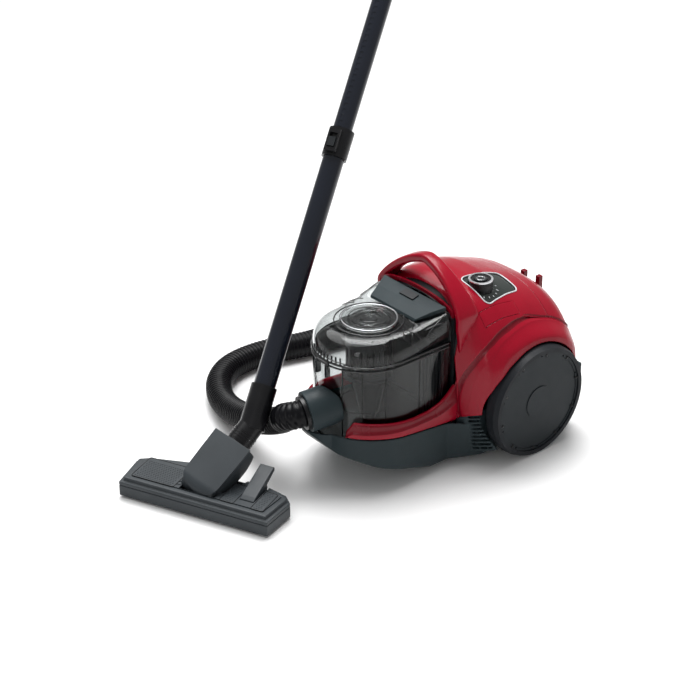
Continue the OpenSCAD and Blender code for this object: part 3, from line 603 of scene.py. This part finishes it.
def make_fender(sign, name, node):
    """Fender, lip and hollow band over one wheel, as one skin of rows that run round the axle."""
    zones = [(None, FENDER_LINE, 26), (FENDER_LINE, BAND_REAR, 6), (BAND_REAR, BAND_FRONT, 12)]
    share = np.linspace(0, 1, 170)
    fullness, proud, lip_drop, hollow = 3.6, 2.0, 3.0, 2.4
    columns = []
    for zone, (inner, outer, count) in enumerate(zones):
        for k in range(count + (zone == 2)):
            s = k / count
            angle = -3 + share * 172
            for _ in range(4):
                r0 = ARCH_R + 0 * share if inner is None else band_radius(inner, angle)
                r1 = np.maximum(band_radius(outer, angle), ARCH_R + 2)
                r = r0 + (r1 - r0) * s
                y_low = AXLE_Y - r * np.cos(np.radians(np.clip(angle[:1], -12, 12)))
                z_low = float(np.interp(y_low[0], *zip(*CHEEK_TOP))) + 0.6
                low = math.degrees(math.asin(np.clip((z_low - WHEEL_R) / r[0], -0.5, 0.5)))
                high = 180 - math.degrees(math.asin((BUMPER_TOP + 0.6 - WHEEL_R) / r[-1]))
                angle = low + share * (high - low)
            y, z = AXLE_Y - r * np.cos(np.radians(angle)), WHEEL_R + r * np.sin(np.radians(angle))
            x = side_x(y, z, BODY_POWER)
            if zone == 0:
                flare = step(0, 20, (r1 - r))
                x = x + (np.maximum(side_x(y, z, fullness), x) - x) * flare + proud
            elif zone == 1:
                x = x + proud - lip_drop * s
            else:
                x = x + (proud - lip_drop) * (1 - s) - hollow * math.sin(math.pi * s) ** 0.7
            columns.append(np.stack([sign * x, y, z], axis=1))
    cols = len(columns)
    pts = np.stack(columns, axis=1).reshape(-1, 3)
    faces = strip_faces(len(share), cols)
    a, b, c = (pts[faces[0][k]] for k in range(3))
    if np.cross(b - a, c - a)[0] * sign < 0:
        faces = [f[::-1] for f in faces]
    fender = add_mesh(name, pts, faces, [RED, DARK_RED_AND_SHADE], "canister", node)
    # Faces of the hollow band take the darker red: painted shade in the hollow.
    band_start = zones[0][2] + zones[1][2]
    for i, poly in enumerate(fender.data.polygons):
        poly.material_index = 1 if i % (cols - 1) >= band_start else 0
    solid(fender, SHELL_WALL)


COLLAR_Y = 35.0
COLLAR_HALF = 78.5
BAY_HALF = 79.5
BAY_TOP = 236


def in_collar(p):
    """Dark recess behind the bay's rim, under the handle."""
    edge = COLLAR_Y - 9 * (np.abs(p[..., 0]) / 78) ** 2
    return np.minimum(edge - p[..., 1], COLLAR_HALF - np.abs(p[..., 0]))


def body_keep(p):
    """The main shell has gaps for the strip, the panel, the recess, the bay and the cheeks."""
    pad = -inside_rectangle(p, PAD[0] - 0.5, PAD[1] + 0.5, PAD[2] - 0.5, PAD[3] + 0.5)
    panel = -inside_polygon(p, PANEL_CORNERS, PANEL_CORNER_R) - 0.2
    bay = np.abs(p[..., 0]) - BAY_HALF + 200 * (p[..., 2] > BAY_TOP)
    bay = np.where(p[..., 1] < 30, bay, EVERYWHERE)
    cheek = p[..., 2] - np.interp(p[..., 1], *zip(*CHEEK_TOP)) - 0.4
    cheek = np.where(p[..., 1] < CHEEK_TOP[-1][0], cheek, EVERYWHERE)
    return np.minimum.reduce([outside_band(p), pad, panel, -in_collar(p), bay, cheek])


def collar_keep(p):
    return in_collar(p) + 0.3


def pad_keep(p):
    return inside_rectangle(p, *PAD)


def panel_keep(p):
    knob_hole = np.hypot(p[..., 0] - KNOB[0], p[..., 1] - KNOB[1]) - KNOB_HOLE_R
    return np.minimum(inside_polygon(p, PANEL_CORNERS, PANEL_CORNER_R), knob_hole)


def make_body():
    shell_part("body_main", (FRONT_Y, HOOD_Y - SEAM), body_keep, RED, "canister", "body_shell",
               spacing=1.1)
    shell_part("body_hood", (HOOD_Y + SEAM, BODY_END), outside_band, RED, "canister", "rear_hood")
    make_fender(1, "body_fender_left", "fender_left")
    make_fender(-1, "body_fender_right", "fender_right")
    shell_part("bay_collar", (FRONT_Y, COLLAR_Y + 1), collar_keep, CHARCOAL, "canister", None,
               lift=-2.2, spacing=0.9, t_range=(0.5, math.pi - 0.5))
    shell_part("rewind_pad", (PAD[2] - 1, PAD[3] + 1), pad_keep, RED, "rewind_key", "rewind_button",
               lift=0.15, thickness=4, spacing=0.8, t_range=(0.5, 1.3))
    shell_part("panel_plate", (66.0, 156.0), panel_keep, PANEL, "canister", "control_panel",
               lift=-1.0, thickness=3, spacing=0.8, t_range=(0.8, 1.5))
    t = np.linspace(0, math.pi, 90)
    rear = body_point(np.full_like(t, BODY_END), t)
    back = add_mesh("body_back", rear, [list(range(len(rear)))[::-1]], RED, "canister")
    solid(back, 2.5)


def surface_z(x, y):
    """Height of the body at a place in plan."""
    w, h = (float(v) for v in body_size(y))
    return BODY_FLOOR + h * max(0.0, 1 - abs(x / w) ** BODY_POWER) ** (1 / BODY_POWER)


def rounded_outline(corners, radius):
    """Corners in order, each replaced by an arc."""
    per_corner = 8
    c = np.array(corners, dtype=float)
    out = []
    for i in range(len(c)):
        a, b, d = c[i - 1], c[i], c[(i + 1) % len(c)]
        u, v = unit(a - b), unit(d - b)
        half = math.acos(np.clip(np.dot(u, v), -1, 1)) / 2
        reach = radius / math.tan(half)
        centre = b + unit(u + v) * radius / math.sin(half)
        p0, p1 = b + u * reach, b + v * reach
        for k in range(per_corner + 1):
            q = p0 + (p1 - p0) * k / per_corner
            out.append(centre + unit(q - centre) * radius)
    return np.array(out)


def round_knob(radius, angle):
    """A place in plan, that far from the knob's axis."""
    return KNOB[0] + radius * math.cos(angle), KNOB[1] + radius * math.sin(angle)


def make_panel_trim():
    """Light outline of the panel and ticks round the knob, laid on the body."""
    outline = rounded_outline(PANEL_CORNERS, PANEL_CORNER_R)
    loop = np.array([[x, y, 0.0] for x, y in np.vstack([outline, outline[:1]])])
    pts = [[x, y, surface_z(x, y) + 0.35] for x, y in resample(loop, 1.5)[:-1, :2]]
    add_rod("panel_trim", pts, 1.0, TRIM, "canister", closed=True)
    for k in range(11):
        a = math.radians(-50 + 20 * k)
        inner, outer = 22.5, 25.0 if k % 5 else 26.5
        ends = [round_knob(inner, a), round_knob(outer, a)]
        if inside_polygon(np.array([ends[1]]), PANEL_CORNERS, PANEL_CORNER_R)[0] > 1.5:
            tick = [[x, y, surface_z(x, y) - 0.45] for x, y in ends]
            add_rod("dial_tick_%02d" % k, tick, 0.6, TRIM, "canister")


KNOB_TOP = 264.0


def make_knob():
    """Turned knob with grip ribs that end above the panel, and the ring round its button."""
    shape = [(0.01, -6.0), (9.4, -6.0), (9.4, -0.6), (10.2, 0), (14.2, 0), (15.0, -0.4), (18.0, -0.6),
             (18.0, -3), (17.6, -4), (17.8, -20), (17.4, -24), (0.01, -24)]
    axis_foot, up = [KNOB[0], KNOB[1], 0], [0, 0, 1]
    pts, faces = lathe([(r, KNOB_TOP + h) for r, h in shape], axis_foot, up, 120, closed=False)
    knob = add_mesh("dial_body", pts, faces, BLACK, "knob", "power_knob")
    round_edges(knob, 0.5, 2, 30)
    rib_low = max(surface_z(*round_knob(18, a)) for a in np.linspace(0, 6.2, 24)) + 3.2
    for k in range(30):
        x, y = round_knob(17.75, 2 * math.pi * k / 30)
        rib = upright(x, y, rib_low, KNOB_TOP - 5)
        add_rod("dial_grip_%02d" % k, rib, 0.45, BLACK, "knob", 6)
    ring = [(5.2, 1.4), (5.9, 1.75), (6.6, 1.4)]
    pts, faces = lathe([(r, KNOB_TOP + h) for r, h in ring], axis_foot, up, 60)
    add_mesh("power_ring", pts, faces, SILVER, "power_key")


HANDLE_HALF = 85.5
SPRING_Z = 234
ARCH_RISE = 61.5


def make_carry_handle():
    """Arch with a deep, rounded section whose legs run down into the body."""
    sides = 32
    t = np.linspace(0, math.pi, 90)
    crown = SPRING_Z + ARCH_RISE * (1 - np.abs(np.cos(t)) ** 1.45) ** 0.74
    arch = np.stack([HANDLE_HALF * np.cos(t), crown], axis=1)
    leg = np.array([[83.0, 178.0], [84.0, 188.0], [85.0, 199.0], [HANDLE_HALF, 209.0], [HANDLE_HALF, 217.0],
                    [HANDLE_HALF, 225.0]])
    line = np.vstack([leg, arch[1:-1], leg[::-1] * [-1, 1]])
    d = np.gradient(line, axis=0)
    d /= np.linalg.norm(d, axis=1)[:, None]
    out = np.stack([d[:, 1], -d[:, 0]], axis=1)
    angle = np.linspace(0, 2 * math.pi, sides, endpoint=False)
    rings = []
    for (x, z), (ox, oz) in zip(line, out):
        rise = np.clip((z - 238) / 62, 0, 1)
        sink = np.clip((219 - z) / 41, 0, 1)
        front = 17.5 + 11.5 * rise + 7.5 * sink
        back = 55.5 - 8.5 * rise - 28 * sink
        half_depth = (back - front) / 2
        half_thick = 5.4 + 1.2 * rise - 3.4 * sink ** 1.5
        c = np.sign(np.cos(angle)) * np.abs(np.cos(angle)) ** 0.36
        s = np.sign(np.sin(angle)) * np.abs(np.sin(angle)) ** 0.62
        across, along = half_thick * s, (front + back) / 2 + half_depth * c
        rings.append(np.stack([x + ox * across, along, z + oz * across], axis=1))
    faces = capped_faces(len(rings), sides)
    add_mesh("arch_handle", np.concatenate(rings), faces, RED, "canister", "carry_handle")


make_body()
make_panel_trim()
make_knob()
make_carry_handle()


# ---------------------------------------------------------------- front bow

BIN_Y = -78.7
BOW_R = 90.0
# Along the bow: height of its lower edge, of its top, and of the lip above the lower edge
RIM_EDGE = [(-190, 92), (-120, 88), (-53, 80.5), (-15, 76.4), (20, 73.4)]
BOW_TOP = [(-190, 117), (-120, 111), (-60, 103.5), (-28, 105), (-6, 111.5), (7, 121), (20, 134)]
LIP_HEIGHT = [(-190, 7), (-60, 12), (-16, 18), (2, 24), (20, 34)]


def make_bow(sign, name, node):
    """One half of the bow, from near the socket back to the body; its hollow band is painted darker as
    shade.
    """
    arc = [(sign * BOW_R * math.cos(a), BIN_Y - BOW_R * math.sin(a))
           for a in np.radians(np.linspace(59, 0, 50))]
    straight = [(sign * BOW_R, y) for y in np.linspace(BIN_Y, 19, 50)[1:]]
    line = np.array(arc + straight)
    rings = []
    for i, (x, y) in enumerate(line):
        n = unit([x, min(0, y - BIN_Y)])
        low = float(smooth_table(RIM_EDGE, y, 20)) + 0.4
        high = float(smooth_table(BOW_TOP, y, 20))
        grow = min(1.0, 0.35 + i / 9)
        high = low + (high - low) * grow
        h = high - low
        lip = min(float(smooth_table(LIP_HEIGHT, y, 20)), h - 8) * grow
        shape = [(-11.5, 0), (-5, 0), (-1.2, 0.3), (0, 1.6), (0, 0.5 * lip), (-0.1, lip - 1), (-1.0, lip),
                 (-2.6, lip + 1.6), (-3.4, 0.55 * h + 0.45 * lip), (-3.6, h - 3.4), (-4.4, h - 1.2),
                 (-6.0, h), (-8.8, h - 0.2), (-11.2, h - 1.8), (-11.8, 0.5 * h)]
        rings.append([[x + n[0] * o, y + n[1] * o, low + z] for o, z in shape])
    count = len(rings[0])
    pts = np.array(rings).reshape(-1, 3)
    faces = capped_faces(len(rings), count)
    if sign < 0:
        faces = [f[::-1] for f in faces]
    bow = add_mesh(name, pts, faces, [RED, DARK_RED_AND_SHADE], "canister", node)
    # Faces 5 to 9 of each ring, the hollow band above the lip, take the darker red: painted shade.
    for i, poly in enumerate(bow.data.polygons):
        poly.material_index = 1 if 5 <= i % count <= 9 else 0
    sub = bow.modifiers.new("smooth", "SUBSURF")
    sub.levels = 1
    sub.render_levels = 1


make_bow(1, "bow_left", "front_bow")
make_bow(-1, "bow_right", None)


# ---------------------------------------------------------------- dust bin

BIN_R = 75.9
BIN_BACK = 15.0
LID_SEAM = 195.0
# Along the lid: height of its crown above the seam, where it is cut flat, and how square it is
LID_HEIGHT = [(-160, 41), (-45, 41), (-32, 42), (-11, 47), (15, 53)]
LID_CAP = [(-160, 38), (-45, 38), (-32, 38.4), (-11, 42.8), (15, 48.4)]
LID_POWER = [(-160, 3.6), (-79, 3.6), (-45, 4.5), (15, 8)]


def bin_outline(r, back):
    """The bin's plan: round front and straight sides, from the left rear round to the right rear."""
    side = np.arange(back, BIN_Y, -4.0)
    arc = np.radians(np.linspace(0, 180, 90))
    left = [(r, y) for y in side]
    front = [(r * math.cos(a), BIN_Y - r * math.sin(a)) for a in arc]
    right = [(-r, y) for y in side[::-1]]
    return np.array(left + front + right)


def lid_level(q, y):
    """Height of the lid at a share q of its half width: a dome blended softly into a flat cap."""
    power = np.interp(y, *zip(*LID_POWER))
    dome = np.interp(y, *zip(*LID_HEIGHT)) * np.maximum(0, 1 - q ** power) ** (1 / power)
    cap = smooth_table(LID_CAP, y, 12)
    blend = 1.2
    drop = blend * np.log1p(np.exp(np.clip((cap - dome) / blend, -30, 30)))
    return LID_SEAM + cap - drop + 0.2 * (q < 0.6)


def make_lid():
    """Loops that shrink from the bin's outline to the lid's middle line."""
    rings = 30
    levels = 1 - np.linspace(0, 1, rings) ** 2.2 * 0.97
    loops = []
    for q in levels:
        outline = bin_outline(BIN_R, BIN_BACK - 0.2)
        y = np.where(outline[:, 1] < BIN_Y, BIN_Y + (outline[:, 1] - BIN_Y) * q, outline[:, 1])
        x = outline[:, 0] * q
        z = np.full(len(x), LID_SEAM + 0.2) if q > 0.9999 else lid_level(np.full(len(x), q), y)
        loops.append(np.stack([x, y, np.maximum(z, LID_SEAM + 0.2)], axis=1))
    n = len(loops[0])
    pts = np.concatenate(loops)
    faces = [[i * n + k + 1, i * n + k, (i + 1) * n + k, (i + 1) * n + k + 1]
             for i in range(rings - 1) for k in range(n - 1)]
    last = (rings - 1) * n
    faces += [[last + k + 1, last + k, last + n - 1 - k, last + n - 2 - k] for k in range(n // 2 - 1)]
    lid = add_mesh("lid_dome", pts, faces, SMOKE, "lid", "bin_lid")
    solid(lid, 2.0)


def level_at(q, y):
    return float(lid_level(np.array([q]), np.array([y]))[0])


def smoke_rod(name, points, radius, body):
    add_rod(name, points, radius, SMOKE_DARK, body)


def bin_front(r, angle):
    """A place in plan on the round front; the angle runs from the left over the front."""
    return r * math.cos(angle), BIN_Y - r * math.sin(angle)


def make_bin_details():
    """Seams, ribs and lines in and on the clear bin."""
    outline = bin_outline(BIN_R + 0.6, BIN_BACK - 1)
    smoke_rod("bin_seam_lower", [[x, y, LID_SEAM - 3.2] for x, y in outline], 1.5, "bin")
    smoke_rod("lid_seam_upper", [[x, y, LID_SEAM + 2.6] for x, y in outline], 1.6, "lid")
    foot = bin_outline(BIN_R - 0.8, BIN_BACK - 1)
    smoke_rod("bin_foot_line", [[x, y, 73.5] for x, y in foot], 1.2, "bin")
    line_r = BIN_R - 1.2
    for k, (degrees, low) in enumerate(((18, 74), (44, 118), (66, 74), (112, 96))):
        x, y = bin_front(line_r, math.radians(degrees))
        smoke_rod("bin_line_%d" % k, upright(x, y, low, LID_SEAM - 4), 0.8, "bin")
    middle = [[*bin_front(line_r, t), 128 - 5 * math.sin(t)] for t in np.linspace(0.6, 2.5, 40)]
    smoke_rod("bin_fill_line", middle, 0.7, "bin")
    for k, sign in enumerate((1, -1)):
        smoke_rod("bin_rib_%d" % k, upright(sign * (BIN_R - 1.5), -42, 74, LID_SEAM - 2), 1.3, "bin")
    for sign in (1, -1):
        for k in range(7):
            flute = upright(sign * (BIN_R - 2.6), -34 + 6.2 * k, 76, LID_SEAM - 3)
            add_rod("bin_flute_%d_%d" % (sign + 1, k), flute, 1.0, CHARCOAL, "bin", 6)


DISC_Y = -73
# The silver ring at radius 40 stands in for a highlight line round the lid's disc: a painted highlight.
LID_RINGS = [(30.0, 0.7, 3.4, SMOKE_DARK, "smoke_solid"), (40.0, 0.8, 3.4, SILVER, "trim_silver"),
             (50.0, 1.0, 0.4, SMOKE_DARK, "smoke_solid")]
# Each brace runs between two places, given as (share of the lid's half width, y)
BRACES = [((0.93, -30), (0.985, 4)), ((0.985, -30), (0.93, 4)), ((0.8, -52), (0.985, -40)),
          ((0.72, -38), (0.985, -58)), ((0.9, -66), (0.7, -56))]


def make_lid_details():
    """Rings about the disc, braces on the shoulders and a knurled patch at the front."""
    for k, (r, thick, lift, material, slot) in enumerate(LID_RINGS):
        ring = []
        for t in np.linspace(0, 2 * math.pi, 90, endpoint=False):
            x, y = r * math.cos(t), DISC_Y + r * math.sin(t)
            q = math.hypot(x, y - BIN_Y) / BIN_R if y < BIN_Y else abs(x) / BIN_R
            ring.append([x, y, level_at(q, y) + lift])
        add_rod("lid_ring_%d" % k, ring, thick, material, "lid", closed=True)
    for k, (start, end) in enumerate(BRACES):
        for sign in (1, -1):
            line = []
            for t in np.linspace(0, 1, 10):
                q, y = start[0] + (end[0] - start[0]) * t, start[1] + (end[1] - start[1]) * t
                line.append([sign * BIN_R * q, y, level_at(q, y) + 0.3])
            smoke_rod("lid_brace_%d_%d" % (k, sign + 1), line, 0.8, "lid")
    for k in range(9):
        x, y = bin_front(BIN_R + 0.4, math.radians(68 + 5.5 * k))
        smoke_rod("lid_knurl_%d" % k, upright(x, y, LID_SEAM + 1, LID_SEAM + 14), 1.3, "lid")


NOTCH_X = 144.9
GROOVE_R = 77.8


def wheel_point(sign, r, angle):
    return [sign * NOTCH_X, AXLE_Y + r * math.cos(angle), WHEEL_R + r * math.sin(angle)]


def make_wheel_notches():
    """Dark notches and a groove round each wheel's disc."""
    for sign, side in ((1, "left"), (-1, "right")):
        for k in range(10):
            a = 2 * math.pi * (k + 0.3) / 10
            ends = [wheel_point(sign, r, a) for r in (73.2, 79.0)]
            add_rod("rim_notch_%s_%d" % (side, k), ends, 2.4, BLACK, "wheel_" + side, 8)
        ring = [wheel_point(sign, GROOVE_R, t) for t in np.linspace(0, 2 * math.pi, 120, endpoint=False)]
        add_rod("rim_groove_" + side, ring, 1.1, BLACK, "wheel_" + side, 6, closed=True)


make_wheel_notches()
make_lid()
make_bin_details()
make_lid_details()


# ---------------------------------------------------------------- floor head

HEAD_TURN = math.radians(24)
HEAD_FRONT = np.array([-40.7, -362.2, 0.0])


def head_point(u, v, z):
    """A place from the head's own axes: u to its left, v to its rear."""
    return HEAD_FRONT + np.array([u * math.cos(HEAD_TURN) - v * math.sin(HEAD_TURN),
                                  u * math.sin(HEAD_TURN) + v * math.cos(HEAD_TURN), z])


NECK_R = 18.0
NECK_START = 66
NECK_END = 76.3
DRUM_R = 20.1
DRUM_HALF = 27.8
SHIELD_R = 22.9
SHIELD_SLOPE = 0.033
NECK_FOOT = [-61.0, -237.0, 95.0]
# Depth of the neck's underside along the neck
NECK_BACK = [(0, 20), (15, 22), (34, 26.5), (52, 27.5), (66, 21), (75, 8)]


def make_neck_hood():
    """Neck: drum across the head, stub for the collar, body, and a shield plate over them."""
    pivot = head_point(0, 38, 30)
    along = unit(np.array(NECK_FOOT) - pivot)
    side = np.array([math.cos(HEAD_TURN), math.sin(HEAD_TURN), 0.0])
    side = unit(side - along * np.dot(side, along))
    up = np.cross(side, along)
    drum = [(0.01, -DRUM_HALF), (DRUM_R - 1, -DRUM_HALF), (DRUM_R, 1 - DRUM_HALF), (DRUM_R, DRUM_HALF - 1),
            (DRUM_R - 1, DRUM_HALF), (0.01, DRUM_HALF)]
    pts, faces = lathe(drum, pivot, side, 96, closed=False)
    add_mesh("neck_drum", pts, faces, HEAD, "neck_part")
    stub = [(NECK_R, NECK_START), (NECK_R, NECK_END), (NECK_R - 2, NECK_END), (NECK_R - 2, NECK_START)]
    pts, faces = lathe(stub, pivot, along, 72)
    add_mesh("neck_stub", pts, faces, CHARCOAL, "neck_part")
    make_neck_body(pivot, along, side, up)
    make_neck_shield(pivot, along, side, up)


def make_neck_body(pivot, along, side, up):
    """Rings with a squarish front and a rounder back, the last one drawn in."""
    sides = 64
    angle = np.linspace(0, 2 * math.pi, sides, endpoint=False)
    c, t = np.cos(angle), np.sin(angle)
    rings = []
    for a in np.concatenate([np.linspace(0, 73, 40), [74.2]]):
        end = 1.0 if a > 74 else 0.0
        front = SHIELD_R - 2.4 - SHIELD_SLOPE * a - end
        back = float(smooth_table(NECK_BACK, a, 8)) - end
        u = np.sign(c) * np.abs(c) ** np.where(t > 0, 0.3, 0.6) * (shield_width(a) - 0.7 - end)
        lift = np.where(t > 0, np.abs(t) ** 0.4 * front, -np.abs(t) ** 0.8 * back)
        rings.append(pivot + along * a + u[:, None] * side + lift[:, None] * up)
    faces = capped_faces(len(rings), sides)
    body = add_mesh("neck_body", np.concatenate(rings), faces, HEAD, "neck_part", "neck")
    round_edges(body, 0.6, 2, 40)


def make_neck_shield(pivot, along, side, up):
    """Slightly crowned plate that wraps round the drum at its rounded lower end."""
    stations = np.concatenate([-19.0 + 4 * np.linspace(0, 1, 14) ** 2, np.linspace(-14.5, 75, 60)])
    spread_u = np.sin(np.linspace(-1, 1, 33) * math.pi / 2)
    rows = []
    for a in stations:
        turn = min(a, 0) / SHIELD_R
        normal = up * math.cos(turn) + along * math.sin(turn)
        reach = SHIELD_R - SHIELD_SLOPE * max(a, 0)
        u = spread_u * shield_width(a)
        crown = -spread_u ** 2
        rows.append(pivot + along * max(a, 0) + normal * (reach + crown)[:, None] + u[:, None] * side)
    grid = np.concatenate(rows)
    faces = strip_faces(len(stations), len(spread_u))
    a, b, c = (grid[i] for i in faces[len(faces) // 2][:3])
    if np.dot(np.cross(b - a, c - b), up) < 0:
        faces = [f[::-1] for f in faces]
    plate = add_mesh("neck_shield", grid, faces, HEAD, "neck_part")
    solid(plate, 2.6)
    round_edges(plate, 0.7, 3, 40)


def shield_width(a):
    """Half width of the shield plate: a rounded lower end, then nearly straight sides."""
    if a < 6:
        return 31.5 * math.sqrt(max(1 - ((6 - a) / 25.2) ** 2, 0.002))
    return 31.5 + 1.5 * math.sin((a - 6) / 44)


# Across the head and along it: the tread fields
FIELDS = [(-106, -37, 13, 66), (37, 59, 13, 60), (86.5, 106, 13, 60)]
FIELD_TOP = 33.0
DOT_PITCH_U = 3.6
DOT_PITCH_V = 4.0
DOT_CORNERS = [(-1.2, -0.7, 0), (1.2, -0.7, 0), (1.2, 0.7, 0), (-1.2, 0.7, 0),
               (-0.7, -0.3, 0.6), (0.7, -0.3, 0.6), (0.7, 0.3, 0.6), (-0.7, 0.3, 0.6)]
DOT_FACES = [(4, 5, 6, 7), (0, 1, 5, 4), (1, 2, 6, 5), (2, 3, 7, 6), (3, 0, 4, 7), (3, 2, 1, 0)]


def tread_dots(low, high, first):
    """Points and faces of the raised dots, every second row set over by half a pitch."""
    pts, faces = [], []
    for row in range(11):
        for col in range(int((high - low - 6) / DOT_PITCH_U)):
            u = low + 4.5 + DOT_PITCH_U * (col + (0.5 if row % 2 else 0))
            v = first + 3.5 + DOT_PITCH_V * row
            if u > high - 3:
                continue
            base = len(pts)
            pts += [head_point(u + du, v + dv, FIELD_TOP - 0.05 + h) for du, dv, h in DOT_CORNERS]
            faces += [[base + i for i in f] for f in DOT_FACES]
    return pts, faces


def make_inlay():
    """The tread fields of the head: a groove line, a plate and raised dots."""
    for k, (low, high, first, last) in enumerate(FIELDS):
        outline = rounded_outline([(low, first), (high, first), (high, last), (low, last)], 3)
        groove = [head_point(u, v, FIELD_TOP) for u, v in outline]
        add_rod("head_groove_%d" % k, groove, 0.55, BLACK, "floor_head", 6, closed=True)
        plate = [head_point(u, v, z) for z in (FIELD_TOP - 1, FIELD_TOP) for u, v in outline]
        add_mesh("head_plate_%d" % k, plate, capped_faces(2, len(outline)), HEAD, "floor_head",
                 smooth=False)
        pts, faces = tread_dots(low, high, first)
        add_mesh("head_tread_%d" % k, pts, faces, HEAD, "floor_head", smooth=False)


make_neck_hood()
make_inlay()


# ---------------------------------------------------------------- edges of the CAD pieces

# Voxel size and number of smoothing passes
SOFT = {"base_shell": (1.2, 6), "inlet_socket": (0.9, 5), "tool_clip": (0.6, 5), "floor_pedal": (0.7, 4),
        "head_cover": (0.9, 6), "head_sole": (0.9, 5)}
# Width of the rounding
ROUNDED = {"tyre_left": 0.8, "tyre_right": 0.8, "wheel_disc_left": 0.5, "wheel_disc_right": 0.5,
           "adjuster_collar": 0.8, "adjuster_button": 0.6, "air_slider": 0.6, "bin_handle": 0.8,
           "bin_latch": 0.3, "bay_rim": 0.5, "exhaust_grille": 0.4}
for node_name, (voxel, passes) in SOFT.items():
    soften(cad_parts[node_name], voxel, passes)
for node_name, width in ROUNDED.items():
    round_edges(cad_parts[node_name], width)


# ---------------------------------------------------------------- studio

FLOOR_HALF = 12.0
WORLD_STRENGTH = 0.42
SUN_STRENGTH = 2.3
SUN_ANGLE = 60
SUN_DIRECTION = (0.45, -0.1, -1.0)


def add_light(name, location, target, size, power):
    data = bpy.data.lights.new(name, "AREA")
    data.energy = power
    data.shape = "RECTANGLE"
    data.size, data.size_y = size
    lamp = bpy.data.objects.new(name, data)
    bpy.context.scene.collection.objects.link(lamp)
    lamp.location = location
    lamp.rotation_euler = (Vector(target) - Vector(location)).to_track_quat("-Z", "Y").to_euler()


def make_studio():
    m, tree, shader = new_material("studio_floor")
    wash = noise(tree, 2.0)
    tree.links.new(tint(tree, wash.outputs["Fac"], (0.86, 0.86, 0.86), (0.88, 0.88, 0.88)),
                   shader.inputs["Base Color"])
    shader.inputs["Roughness"].default_value = 0.35
    mesh = bpy.data.meshes.new("floor")
    s = FLOOR_HALF
    mesh.from_pydata([(-s, -s, 0), (s, -s, 0), (s, s, 0), (-s, s, 0)], [], [(0, 1, 2, 3)])
    mesh.materials.append(m)
    floor = bpy.data.objects.new("floor", mesh)
    bpy.context.scene.collection.objects.link(floor)
    world = bpy.data.worlds.new("studio")
    world.use_nodes = True
    background = world.node_tree.nodes["Background"]
    background.inputs["Color"].default_value = (1, 1, 1, 1)
    background.inputs["Strength"].default_value = WORLD_STRENGTH
    bpy.context.scene.world = world
    add_light("softbox", (-0.35, 0.45, 1.9), (0.05, 0.05, 0.1), (1.3, 1.0), 34)
    add_light("side", (1.6, -2.6, 1.4), (0.05, -0.05, 0.15), (0.5, 1.6), 8)
    sun = bpy.data.lights.new("sun", "SUN")
    sun.energy = SUN_STRENGTH
    sun.angle = math.radians(SUN_ANGLE)
    lamp = bpy.data.objects.new("sun", sun)
    bpy.context.scene.collection.objects.link(lamp)
    lamp.rotation_euler = Vector(SUN_DIRECTION).to_track_quat("-Z", "Y").to_euler()
    bpy.context.scene.view_settings.view_transform = "Standard"
    bpy.context.scene.view_settings.look = "None"


make_studio()
